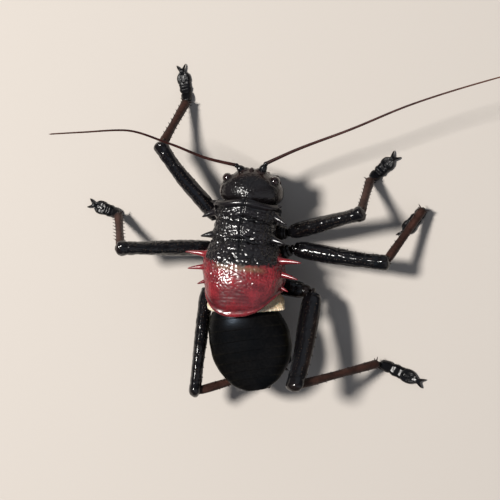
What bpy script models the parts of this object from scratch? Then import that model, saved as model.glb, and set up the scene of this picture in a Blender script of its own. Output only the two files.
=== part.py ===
"""Armoured ground cricket, Eugaster spinulosa: a still, life-size male standing on its six feet.

The head looks along +Y, +X is the animal's right, +Z is up, and the feet stand on z = 0. Sizes below are in
millimetres. The body is a row of sections set across a gently bent centre line: head, neck, the shield-like pronotum
over the thorax, two short wings that peek out under the shield, the abdomen and its end pieces. Legs and feelers are
rods between joints.
"""

import math

import bpy
import bmesh
import numpy as np
from mathutils import Vector

MM = 0.001
GAP = 0.3
SHIELD = 0.62  # thickness of the pronotum's wall
WING = 0.5

for old in list(bpy.data.objects):
    bpy.data.objects.remove(old, do_unlink=True)

body_parts = bpy.data.collections.new("eugaster_spinulosa")
bpy.context.scene.collection.children.link(body_parts)
helpers = bpy.data.collections.new("cutters")
bpy.context.scene.collection.children.link(helpers)


def material(name, colour, roughness, coat=0.0):
    made = bpy.data.materials.new(name)
    made.use_nodes = True
    shader = made.node_tree.nodes["Principled BSDF"]
    shader.inputs["Base Color"].default_value = (*colour, 1.0)
    shader.inputs["Roughness"].default_value = roughness
    shader.inputs["Coat Weight"].default_value = coat
    made.diffuse_color = (*colour, 1.0)
    return made


COLOURS = {
    "black": ((0.014, 0.013, 0.014), 0.28, 0.3),
    "crimson": ((0.20, 0.018, 0.020), 0.30, 0.3),
    "cream": ((0.70, 0.55, 0.30), 0.45, 0.0),
    "abdomen": ((0.026, 0.025, 0.022), 0.35, 0.2),
    "brown": ((0.085, 0.045, 0.030), 0.40, 0.1),
    "eye": ((0.030, 0.010, 0.008), 0.08, 0.5),
    "feeler": ((0.10, 0.028, 0.020), 0.40, 0.1),
    "membrane": ((0.16, 0.10, 0.075), 0.55, 0.0),
}


def curve_through(knots):
    """A smooth function through (position, value) knots, which doesn't overshoot them."""
    knots = sorted(knots)
    xs = np.array([k[0] for k in knots], float)
    ys = np.array([k[1] for k in knots], float)
    h = np.diff(xs)
    d = np.diff(ys) / h
    m = np.zeros(len(xs))
    m[0], m[-1] = d[0], d[-1]
    for i in range(1, len(xs) - 1):
        if d[i - 1] * d[i] > 0:
            a, b = 2 * h[i] + h[i - 1], h[i] + 2 * h[i - 1]
            m[i] = (a + b) / (a / d[i - 1] + b / d[i])

    def value(x):
        x = min(max(x, xs[0]), xs[-1])
        i = min(int(np.searchsorted(xs, x, side="right")) - 1, len(h) - 1)
        i = max(i, 0)
        t = (x - xs[i]) / h[i]
        return float(
            (2 * t**3 - 3 * t**2 + 1) * ys[i]
            + (t**3 - 2 * t**2 + t) * h[i] * m[i]
            + (3 * t**2 - 2 * t**3) * ys[i + 1]
            + (t**3 - t**2) * h[i] * m[i + 1]
        )

    return value


# ---------------------------------------------------------------- the body's own coordinates

CENTRE = curve_through(
    ((17, 1.0), (11.2, 0.6), (7.5, -0.35), (2.6, -0.75), (-2.4, -0.65), (-6.6, -0.68), (-12.4, -0.85), (-17, 0.0),
     (-22, 0.95), (-29, 2.0))
)
HEADING = curve_through(
    ((17, 4.7), (9, 5.5), (-5, 5.5), (-8, 3.0), (-13, -4.0), (-17, -8.0), (-29, -9.0))
)


def at(y, lateral, z):
    """The point this far to the right of the centre line, at station y and height z."""
    turn = math.radians(HEADING(y))
    return Vector((CENTRE(y) + lateral * math.cos(turn), y - lateral * math.sin(turn), z))


def arch(half, up, down, angle, power=1.0):
    """(lateral, height) on a section that is `half` wide, `up` high and `down` deep, at an angle from its top."""
    s, c = math.sin(angle), math.cos(angle)
    lateral = half * math.copysign(abs(s) ** power, s)
    return lateral, (up if c > 0 else down) * math.copysign(abs(c) ** power, c)


# pronotum: half width, level of the greatest width, height above it, depth below it, and how far round it reaches
P_HALF = curve_through(
    ((9.8, 6.25), (8.6, 6.75), (7.0, 6.35), (5.6, 5.95), (2.6, 6.3), (0.2, 6.95), (-2.4, 7.85), (-4.5, 8.05),
     (-7.0, 7.75), (-10.0, 7.4), (-13.6, 6.9))
)
P_LEVEL = curve_through(((9.8, 11.5), (2.0, 11.8), (-3.0, 12.8), (-8.0, 13.2), (-13.6, 13.4)))
P_TOP = curve_through(
    ((9.8, 16.7), (8.9, 17.0), (7.6, 16.75), (6.0, 16.5), (4.6, 16.85), (3.2, 17.1), (2.0, 17.0), (0.4, 17.6),
     (-1.6, 18.35), (-3.2, 18.8), (-6.0, 19.1), (-10.0, 18.7), (-13.6, 18.0))
)
P_DEEP = 6.5
P_REACH = curve_through(((9.8, 106), (6.0, 112), (1.0, 110), (-3.0, 104), (-6.5, 96), (-10.0, 87), (-13.6, 80)))
P_FRONT, P_REAR = 9.7, -12.85
P_REAR_CURVE = curve_through(
    ((-1.0, 5.2), (-0.85, 4.2), (-0.7, 2.9), (-0.5, 1.4), (-0.35, 0.7), (-0.2, 0.22), (0, 0), (0.2, 0.32), (0.35, 0.98), (0.5, 2.0),
     (0.7, 3.7), (0.85, 4.6), (1.0, 5.25))
)


def shield_station(along, share):
    """Station y at `along` 0 (front) to 1 (rear), where `share` runs from -1 to 1 across the arch."""
    front = P_FRONT - 1.5 * abs(share) ** 2.2 + 0.25 * math.cos(share * 9.0) - 0.25
    rear = P_REAR + P_REAR_CURVE(share)
    return front + (rear - front) * along


def shield_point(along, share, inward=0.0):
    y = shield_station(along, share)
    angle = math.radians(P_REACH(y)) * share
    level = P_LEVEL(y)
    power = 0.94 - 0.16 * min(max((2.0 - y) / 6.0, 0.0), 1.0)
    lateral, height = arch(P_HALF(y) - inward, P_TOP(y) - level - inward, P_DEEP, angle, power)
    return at(y, lateral, level + height)


# thorax inside the shield, and the abdomen behind it
T_HALF = curve_through(((7.2, 4.6), (5.6, 4.55), (2.6, 4.95), (-2.0, 5.8), (-6.0, 6.0), (-10.8, 5.8)))
T_TOP = curve_through(((7.2, 15.0), (5.6, 14.8), (1.0, 15.1), (-3.0, 15.7), (-10.8, 15.5)))
A_HALF = curve_through(
    ((-11.1, 6.1), (-12.2, 6.65), (-13.5, 7.25), (-15.5, 7.85), (-17.5, 8.15), (-20.0, 8.1), (-22.5, 7.4), (-24.7, 6.05),
     (-26.2, 4.75), (-27.0, 3.6), (-27.6, 2.3))
)
A_LEVEL = curve_through(((-11.1, 11.0), (-17, 11.1), (-22, 11.5), (-27.6, 12.5)))
A_UP = curve_through(((-11.1, 4.55), (-12.6, 4.85), (-14.2, 4.9), (-18, 4.3), (-22, 3.2), (-25, 2.15), (-27.6, 1.1)))
A_DOWN = curve_through(((-11.1, 5.4), (-14, 5.95), (-18, 5.65), (-22, 4.2), (-25, 2.1), (-27.6, 0.85)))
SEGMENT_EDGES = (-13.4, -15.6, -17.8, -19.9, -21.9, -23.7, -25.3, -26.6)


def abdomen_swell(y):
    """Each back plate rides a little over the one behind it, so the outline steps in after every edge."""
    ahead = [edge for edge in SEGMENT_EDGES if y > edge]
    edge = ahead[0] if ahead else -27.9
    start = max([e for e in SEGMENT_EDGES if e >= y], default=-11.1) if y <= SEGMENT_EDGES[0] else -11.1
    share = (start - y) / max(start - edge, 0.1)
    return 0.16 * (share - 0.35)


def abdomen_point(y, angle, outward=0.0):
    swell = outward + abdomen_swell(y)
    lateral, height = arch(A_HALF(y) + swell, A_UP(y) + swell, A_DOWN(y) + swell, angle, 0.92)
    return at(y, lateral, A_LEVEL(y) + height)


# ---------------------------------------------------------------- mesh building


def loft(rings, bulge=(0.0, 0.0)):
    """A closed solid through rings of equal length; each end closes on a middle point moved out by its bulge."""
    bm = bmesh.new()
    rows = [[bm.verts.new(Vector(p) * MM) for p in ring] for ring in rings]
    count = len(rows[0])
    for a, b in zip(rows, rows[1:]):
        for i in range(count):
            j = (i + 1) % count
            bm.faces.new((a[i], a[j], b[j], b[i]))
    for row, ring, other, out in ((rows[0], rings[0], rings[1], bulge[0]), (rows[-1], rings[-1], rings[-2], bulge[1])):
        middle = sum((Vector(p) for p in ring), Vector()) / count
        beyond = middle - sum((Vector(p) for p in other), Vector()) / count
        tip = bm.verts.new((middle + beyond.normalized() * out) * MM)
        for i in range(count):
            bm.faces.new((row[i], row[(i + 1) % count], tip))
    bmesh.ops.recalc_face_normals(bm, faces=bm.faces)
    return bm


def rod(path, side_half, up_half, up, sides, grow=0.0, bulge=(0.0, 0.0), power=1.0):
    """A rod along a path of points, with half sizes for each point, across and along `up`."""
    path = [Vector(p) for p in path]
    if grow:
        path[0] = path[0] + (path[0] - path[1]).normalized() * grow
        path[-1] = path[-1] + (path[-1] - path[-2]).normalized() * grow
    rings = []
    for i, centre in enumerate(path):
        forward = (path[min(i + 1, len(path) - 1)] - path[max(i - 1, 0)]).normalized()
        side = forward.cross(Vector(up)).normalized()
        top = side.cross(forward).normalized()
        a, b = side_half[i] + grow, up_half[i] + grow
        ring = []
        for k in range(sides):
            angle = 2 * math.pi * (k + 0.5) / sides
            c, s = math.cos(angle), math.sin(angle)
            ring.append(
                centre
                + side * a * math.copysign(abs(c) ** power, c)
                + top * b * math.copysign(abs(s) ** power, s)
            )
        rings.append(ring)
    return loft(rings, bulge)


def spike(base, tip, radius, sides=5, droop=(0, 0, 0), steps=3):
    """A thorn from `base` to `tip`, bent by `droop` at its middle, with a blunt point."""
    base, tip, droop = Vector(base), Vector(tip), Vector(droop)
    path, sizes = [], []
    for i in range(steps + 1):
        t = i / steps
        path.append(base + (tip - base) * t + droop * 4 * t * (1 - t))
        sizes.append(radius * (1 - t) ** 0.85 + 0.07)
    axis = tip - base
    up = Vector((0, 0, 1)) if abs(axis.normalized().z) < 0.8 else Vector((0, 1, 0))
    return rod(path, sizes, sizes, up, sides, bulge=(0.0, 0.1))


def ball(centre, radius, rings=8, segments=12, squash=(1, 1, 1)):
    bm = bmesh.new()
    bmesh.ops.create_uvsphere(bm, u_segments=segments, v_segments=rings, radius=1.0)
    for v in bm.verts:
        v.co = (Vector(centre) + Vector([c * radius * q for c, q in zip(v.co, squash)])) * MM
    return bm


def joined(pieces):
    whole = bmesh.new()
    for piece in pieces:
        mesh = bpy.data.meshes.new("piece")
        piece.to_mesh(mesh)
        whole.from_mesh(mesh)
        bpy.data.meshes.remove(mesh)
        piece.free()
    return whole


def node(name, bm, colour):
    mesh = bpy.data.meshes.new(name)
    bm.to_mesh(mesh)
    bm.free()
    for face in mesh.polygons:
        face.use_smooth = True
    mesh.materials.append(material(name, *COLOURS[colour]))
    made = bpy.data.objects.new(name, mesh)
    body_parts.objects.link(made)
    return made


def helper(name, bm):
    mesh = bpy.data.meshes.new(name)
    bm.to_mesh(mesh)
    bm.free()
    made = bpy.data.objects.new(name, mesh)
    helpers.objects.link(made)
    made.hide_render = True
    made.display_type = "WIRE"
    return made


def boolean(target, other, operation):
    step = target.modifiers.new(operation.lower(), "BOOLEAN")
    step.operation = operation
    step.solver = "EXACT"
    step.object = other


# ---------------------------------------------------------------- pronotum with its thorns

ACROSS = 14
STATIONS = [0.0, 0.04, 0.10, 0.16, 0.22, 0.28, 0.335, 0.40, 0.48, 0.60, 0.80, 1.0]
rings = []
for along in STATIONS:
    outer = [shield_point(along, 2 * k / ACROSS - 1) for k in range(ACROSS + 1)]
    inner = [shield_point(along, 2 * k / ACROSS - 1, SHIELD) for k in range(ACROSS + 1)]
    rings.append(outer + inner[::-1])
bm = bmesh.new()
rows = [[bm.verts.new(p * MM) for p in ring] for ring in rings]
around = len(rows[0])
for a, b in zip(rows, rows[1:]):
    for i in range(around):
        j = (i + 1) % around
        bm.faces.new((a[i], a[j], b[j], b[i]))
for row in (rows[0], rows[-1]):
    for i in range(ACROSS):
        bm.faces.new((row[i], row[i + 1], row[around - 2 - i], row[around - 1 - i]))
bmesh.ops.recalc_face_normals(bm, faces=bm.faces)
pronotum = node("pronotum", bm, "crimson")

# station, length, turn from straight sideways (plus is forward), rise, root radius, level
THORNS = (
    (8.9, 0.8, 15, 8, 0.42, 13.4),
    (7.2, 3.1, -26, 8, 0.66, 13.4),
    (2.6, 2.9, -12, 10, 0.66, 13.6),
    (-1.6, 4.8, 2, 8, 0.74, 14.4),
    (-4.05, 3.8, -10, 8, 0.64, 14.6),
    (-6.6, 2.0, -22, 8, 0.50, 14.4),
)


def thorn_ends(side, thorn):
    station, length, turn, rise, radius, level = thorn
    base = at(station, side * (P_HALF(station) - 0.75), level)
    turned = math.radians(HEADING(station)) - side * math.radians(turn)
    rise += 9 * side
    flat = math.cos(math.radians(rise))
    way = Vector((side * math.cos(turned) * flat, -side * math.sin(turned) * flat, math.sin(math.radians(rise))))
    return base, base + way * (length * (0.9 if side < 0 else 1.0) + 0.45)


thorns = []
for side in (-1, 1):
    for thorn in THORNS:
        base, tip = thorn_ends(side, thorn)
        thorns.append(spike(base, tip, thorn[4], 5, (0, 0.10 * thorn[1] / 4, 0), 3))
for lateral, station in ((-1.75, -1.85), (1.6, -2.2)):
    top = P_TOP(station)
    thorns.append(ball(at(station, lateral, top - 0.35), 0.85, 5, 8))
boolean(pronotum, helper("thorn_set", joined(thorns)), "UNION")

# ---------------------------------------------------------------- thorax, neck, abdomen

SIDES = 14


def trunk_ring(y, half, top, bottom, level, power=0.9):
    ring = []
    for k in range(SIDES):
        lateral, height = arch(half, top - level, level - bottom, 2 * math.pi * k / SIDES, power)
        ring.append(at(y, lateral, level + height))
    return ring


def thorax_rings(stations):
    made = []
    for i, y in enumerate(stations):
        tuck = 0.8 if i in (0, len(stations) - 1) else 0.0
        made.append(
            trunk_ring(y, T_HALF(y) - tuck, T_TOP(y) - tuck, THORAX_FLOOR(y) + tuck, 10.4 if y > -5 else 10.8)
        )
    return made


THORAX_FLOOR = curve_through(((7.2, 6.6), (4.5, 5.4), (0.0, 4.9), (-6.0, 4.7), (-10.8, 5.4)))
prothorax = node("prothorax", loft(thorax_rings((7.0, 6.3, 4.5, 2.6, 2.0))), "black")
mesothorax = node("mesothorax", loft(thorax_rings((1.7, 1.1, -0.5, -2.8, -3.4))), "black")
metathorax = node("metathorax", loft(thorax_rings((-3.7, -4.3, -6.5, -9.8, -10.7))), "black")
node("neck", rod([at(y, 0, z) for y, z in ((8.0, 11.6), (7.65, 11.6), (7.3, 11.6))], (3.1, 3.4, 3.2), (3.0, 3.2, 3.0), (0, 0, 1), 12), "membrane")

stations = [-11.05, -11.8, -12.6]
for edge, following in zip(SEGMENT_EDGES, SEGMENT_EDGES[1:] + (-27.6,)):
    stations += [edge + 0.02, edge - 0.18]
stations.append(-27.6)
rings = []
for i, y in enumerate(stations):
    tuck = 0.7 if i == 0 else 0.0
    rings.append([abdomen_point(y, 2 * math.pi * k / SIDES, -tuck) for k in range(SIDES)])
abdomen = node("abdomen", loft(rings, (0.0, 0.25)), "abdomen")

# end pieces: the last back plate, the plate below it, and a pair of short claspers
node(
    "epiproct",
    rod([at(-26.55, 0, 9.95), at(-27.1, 0, 9.9), at(-27.7, 0, 9.7)], (1.5, 1.25, 0.55), (0.42, 0.42, 0.3), (0, 0, 1), 8),
    "abdomen",
)
node(
    "subgenital_plate",
    rod([at(-25.5, 0, 8.75), at(-26.5, 0, 8.65), at(-27.5, 0, 8.8)], (1.5, 1.4, 0.8), (0.45, 0.45, 0.3), (0, 0, 1), 8),
    "abdomen",
)
for side, word in ((-1, "left"), (1, "right")):
    node(
        "cercus_" + word,
        rod(
            [at(-26.2, side * 2.05, 9.7), at(-27.0, side * 2.3, 9.65), at(-27.8, side * 2.0, 9.7)],
            (0.42, 0.38, 0.26),
            (0.32, 0.32, 0.26),
            (0, 0, 1),
            7,
            bulge=(0, 0.1),
        ),
        "brown",
    )

# ---------------------------------------------------------------- short wings under the rear of the shield

W_HALF = curve_through(((-5.5, 6.5), (-8.0, 6.6), (-9.6, 7.1), (-11.0, 7.55), (-12.3, 7.95)))
W_SPREAD = curve_through(((-5.5, 0.0), (-7.5, 0.1), (-9.6, 0.75), (-12.3, 0.55)))  # the right wing stands out more
W_TOP = curve_through(((-5.5, 16.45), (-9.0, 16.35), (-12.3, 16.3)))


def ease(x, low, high):
    t = min(max((x - low) / (high - low), 0.0), 1.0)
    return t * t * (3 - 2 * t)


def wing_point(y, degrees, inward):
    level = 11.6
    half = W_HALF(y) + (W_SPREAD(y) * math.sin(math.radians(degrees)) ** 2 if degrees > 0 else 0.0)
    lateral, height = arch(half - inward, W_TOP(y) + WING - inward - level, 6.0, math.radians(degrees), 0.92)
    flare = 2.2 * ease(degrees, 45, 95) * ease(-y, 9.4, 11.6)  # the right wing's hind corner stands out
    return at(y, lateral, level + height + flare)


def wing(side, first, last):
    across = 9
    rows = []
    for along in (0.0, 0.34, 0.66, 0.86, 1.0):
        ring = []
        for inward in (0.0, WING):
            part = []
            for k in range(across + 1):
                degrees = first + (last - first) * k / across
                rear = -12.2 + 0.35 * (degrees / 97.0) ** 4 if side > 0 else -11.9 + 1.9 * (degrees / 97.0) ** 3
                front = -6.2 - 1.6 * (degrees / 100.0) ** 2
                y = front + (rear - front) * along
                part.append(wing_point(y, side * degrees, inward))
            ring += part if inward == 0.0 else part[::-1]
        rows.append(ring)
    bm = bmesh.new()
    grid = [[bm.verts.new(p * MM) for p in ring] for ring in rows]
    count = len(grid[0])
    for a, b in zip(grid, grid[1:]):
        for i in range(count):
            bm.faces.new((a[i], a[(i + 1) % count], b[(i + 1) % count], b[i]))
    for row in (grid[0], grid[-1]):
        for i in range(across):
            bm.faces.new((row[i], row[i + 1], row[count - 2 - i], row[count - 1 - i]))
    bmesh.ops.recalc_face_normals(bm, faces=bm.faces)
    return bm


node("tegmen_left", wing(-1, 3, 97), "cream")
node("tegmen_right", wing(1, 3, 97), "cream")

# ---------------------------------------------------------------- head

HEAD = Vector((0.62, 11.25, 0.0))
HEAD_TURN = math.radians(4.7)
H_HALF = curve_through(
    ((16.85, 0.7), (16.6, 1.75), (15.95, 3.4), (14.9, 5.1), (13.6, 5.95), (12.0, 6.35), (10.0, 6.2), (8.0, 5.5), (6.4, 4.6))
)
H_FRONT = curve_through(
    ((16.85, 0.6), (16.6, 1.35), (15.95, 2.6), (14.9, 3.85), (13.6, 4.6), (12.0, 4.95), (10.0, 4.9), (8.0, 4.5), (6.4, 3.9))
)
H_REAR = curve_through(
    ((16.85, -0.85), (16.6, -1.2), (15.95, -1.55), (14.9, -2.1), (13.6, -2.7), (12.0, -3.1), (10.0, -3.1), (8.0, -2.9), (6.4, -2.2))
)


def head_at(lateral, fore, z):
    c, s = math.cos(HEAD_TURN), math.sin(HEAD_TURN)
    return Vector((HEAD.x + lateral * c + fore * s, HEAD.y - lateral * s + fore * c, z))


def head_point(z, angle):
    """Angle 0 is to the front; the plan of each level is a rounded box, shallower behind."""
    s, c = math.sin(angle), math.cos(angle)
    power = 0.88 if c > 0 else 1.0
    lateral = H_HALF(z) * math.copysign(abs(s) ** power, s)
    reach = (H_FRONT(z) if c > 0 else -H_REAR(z)) * math.copysign(abs(c) ** power, c)
    pinch = 1 - 0.19 * min(max((reach - 1.3) / 2.4, 0.0), 1.0)  # narrower in front, so that the eyes stand out
    return head_at(lateral * pinch, reach, z)


levels = (16.85, 16.6, 16.0, 15.1, 14.0, 12.7, 11.2, 9.6, 8.0, 6.4)
rings = [[head_point(z, 2 * math.pi * (k + 0.5) / 20) for k in range(20)] for z in levels]
head = node("head", loft(rings, (0.12, 0.0)), "black")
hidden = []
EYE = 1.0
for side, word in ((-1, "left"), (1, "right")):
    centre = head_at(side * 4.78, 2.7, 13.4)
    node("eye_" + word, ball(centre, EYE, 7, 10), "eye")
    hidden.append(ball(centre, EYE + 0.28, 5, 8))
FASTIGIUM = rod([head_at(0, 3.4, 13.9), head_at(0, 4.5, 13.7), head_at(0, 4.9, 13.5)], (0.7, 0.55, 0.35), (0.8, 0.65, 0.4), (0, 0, 1), 8)
boolean(head, helper("fastigium", FASTIGIUM), "UNION")

ANTENNAE = {
    "left": ((-0.60, 15.4, 13.0), (-1.80, 16.55, 13.95), (-7.2, 18.0, 16.4), (-14.2, 20.8, 20.0), (-22.2, 23.2, 25.0),
             (-29.2, 22.6, 29.5), (-34.6, 22.0, 34.0)),
    "right": ((2.75, 15.35, 13.0), (3.8, 16.9, 13.9), (10.0, 19.6, 15.0), (20.9, 23.4, 16.4), (33.0, 28.0, 18.0),
              (45.0, 31.4, 20.4), (53.2, 33.2, 24.0)),
}


def smooth_path(points, steps):
    """Points evenly along a smooth line through the given ones, by their distance along it."""
    points = [Vector(p) for p in points]
    far = [0.0]
    for a, b in zip(points, points[1:]):
        far.append(far[-1] + (b - a).length)
    lines = [curve_through(list(zip(far, [p[axis] for p in points]))) for axis in range(3)]
    return [Vector([line(far[-1] * i / steps) for line in lines]) for i in range(steps + 1)]


for side, word in ((-1, "left"), (1, "right")):
    points = ANTENNAE[word]
    base, knuckle = Vector(points[0]), Vector(points[1])
    way = (knuckle - base).normalized()
    stem = [base - way * 0.35, base, base + way * 0.7, base + way * 1.35, base + way * 1.75]
    sizes = (0.50, 0.76, 0.80, 0.68, 0.42)
    node("scape_" + word, rod(stem, sizes, sizes, (0, 0, 1), 10), "black")
    hidden.append(rod(stem, sizes, sizes, (0, 0, 1), 7, grow=0.27))
    path = smooth_path((base + way * 2.3,) + points[2:], 40)
    thick = [0.45 - 0.19 * (i / 40) ** 0.7 for i in range(41)]
    for name, first, last in (("feeler_{}_1", 0, 13), ("feeler_{}_2", 13, 27), ("feeler_{}_3", 27, 40)):
        piece = path[first : last + 1]
        if first:
            piece[0] = piece[0] + (piece[1] - piece[0]).normalized() * GAP
        kept = list(range(0, last - first, 3)) + [last - first]
        sizes = [thick[first + k] for k in kept]
        node(name.format(word), rod([piece[k] for k in kept], sizes, sizes, (0, 0, 1), 6), "feeler")
boolean(head, helper("head_sockets", joined(hidden)), "DIFFERENCE")

# mouthparts: the upper lip over two jaws, the lower lip behind them, and two pairs of palps
node(
    "labrum",
    rod(
        [head_at(0, 4.15, 6.05), head_at(0, 4.3, 5.2), head_at(0, 4.3, 4.0), head_at(0, 4.0, 2.9), head_at(0, 3.7, 2.45)],
        (2.5, 2.3, 1.9, 1.5, 0.8),
        (0.4, 0.42, 0.4, 0.35, 0.28),
        (0, 1, 0),
        10,
    ),
    "brown",
)
for side, word in ((-1, "left"), (1, "right")):
    node(
        "mandible_" + word,
        rod(
            [head_at(side * 2.9, 1.9, 6.05), head_at(side * 2.75, 2.0, 5.0), head_at(side * 1.9, 2.3, 3.4), head_at(side * 0.75, 2.5, 2.5)],
            (1.15, 1.15, 0.85, 0.35),
            (1.35, 1.2, 0.9, 0.45),
            (0, 1, 0),
            9,
        ),
        "black",
    )
    node(
        "maxillary_palp_" + word,
        rod(
            [head_at(side * 2.6, -1.0, 6.05), head_at(side * 3.1, -0.3, 4.7), head_at(side * 3.9, 1.0, 3.6),
             head_at(side * 4.1, 2.2, 3.1), head_at(side * 3.7, 3.2, 2.6), head_at(side * 3.1, 4.0, 2.1)],
            (0.36, 0.40, 0.34, 0.36, 0.36, 0.42),
            (0.36, 0.40, 0.34, 0.36, 0.36, 0.42),
            (0, 0, 1),
            7,
            bulge=(0, 0.2),
        ),
        "brown",
    )
    node(
        "labial_palp_" + word,
        rod(
            [head_at(side * 1.3, -1.1, 3.5), head_at(side * 1.75, -0.5, 2.5), head_at(side * 2.15, 0.7, 1.8), head_at(side * 2.15, 1.9, 1.5)],
            (0.30, 0.34, 0.30, 0.36),
            (0.30, 0.34, 0.30, 0.36),
            (0, 0, 1),
            7,
            bulge=(0, 0.15),
        ),
        "brown",
    )
node(
    "labium",
    rod(
        [head_at(0, -0.6, 6.05), head_at(0, -0.5, 5.2), head_at(0, -0.4, 4.2), head_at(0, -0.2, 3.6)],
        (1.75, 1.9, 1.7, 1.2),
        (0.9, 0.95, 0.8, 0.5),
        (0, 1, 0),
        10,
    ),
    "brown",
)

# ---------------------------------------------------------------- legs

# joints in space, half width and half depth of the thigh, and which way its depth points
LEGS = {
    "fore_left": ((-7.0, 6.3, 7.2), (-17.9, 21.1, 11.4), (-14.7, 30.4, 2.35), (-16.2, 38.4, 0), 1.44, 1.50, (0, 0, 1), (-3.4, 4.3, 6.9)),
    "fore_right": ((7.6, 3.5, 7.2), (22.6, 7.1, 13.0), (23.3, 14.1, 2.35), (28.7, 19.5, 0), 1.38, 1.50, (0, 0, 1), (3.8, 3.6, 6.9)),
    "mid_left": ((-7.6, 0.5, 7.2), (-25.9, 0.35, 13.5), (-29.0, 7.2, 2.35), (-36.0, 9.9, 0), 1.34, 1.55, (0, 0, 1), (-4.0, -0.5, 6.6)),
    "mid_right": ((8.4, 0.3, 7.2), (27.2, -2.5, 9.5), (34.0, 8.2, 2.35), (29.0, 2.4, 0), 1.55, 1.42, (0, 0, 1), (3.6, -1.4, 6.6)),
    "hind_left": ((-9.1, -7.4, 8.0), (-10.8, -28.5, 12.0), (6.1, -23.4, 2.35), (3.3, -14.8, 0), 1.22, 1.90, (0, 0, 1), (-4.6, -6.6, 6.8)),
    "hind_right": ((12.5, -8.5, 8.0), (9.9, -26.7, 17.4), (24.9, -22.9, 2.35), (34.1, -27.1, 0), 1.30, 2.15, (1.0, 0.15, 0.2), (4.6, -7.0, 6.8)),
}
THIGH = curve_through(((0, 0.78), (0.04, 0.98), (0.15, 1.10), (0.35, 1.09), (0.60, 0.98), (0.75, 0.90), (0.88, 0.99), (0.95, 0.98), (1.0, 0.62)))
THIGH_DEEP = curve_through(((0, 0.62), (0.04, 0.84), (0.12, 0.97), (0.30, 1.0), (0.6, 0.90), (0.86, 0.84), (0.95, 0.80), (1.0, 0.5)))
SHIN = curve_through(((0, 0.62), (0.03, 0.86), (0.12, 1.0), (0.5, 0.86), (0.9, 0.98), (0.97, 1.0), (1.0, 0.8)))
SHIN_HALF = {"fore": 0.90, "mid": 0.88, "hind": 0.88}
FOOT_HALF = curve_through(((0, 0.80), (0.08, 1.02), (0.20, 1.20), (0.30, 1.13), (0.38, 1.28), (0.47, 1.20), (0.57, 1.32), (0.70, 1.42), (0.80, 1.32), (0.90, 0.80), (0.95, 0.58), (1.0, 0.42)))
FOOT_TOP = curve_through(((0, 1.35), (0.08, 1.55), (0.24, 1.30), (0.30, 1.08), (0.38, 1.22), (0.47, 0.98), (0.55, 1.10), (0.70, 0.95), (0.80, 1.05), (0.92, 1.25), (1.0, 1.1)))
FOOT_SOLE = curve_through(((0, 0.0), (0.82, 0.0), (0.90, 0.25), (1.0, 0.45)))
HEEL_RISE = {"mid_right": 0.0, "hind_left": 0.0}  # the heel stands up to the shin's end, except where the foot turns aside or back
FOOT_STATIONS = (0.0, 0.12, 0.30, 0.38, 0.47, 0.70, 0.82, 0.90, 1.0)

BOW = {"fore_left": (-0.40, -0.30, 0.0), "mid_right": (0.0, -0.25, 0.0)}  # thighs that also bend in plan

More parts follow.
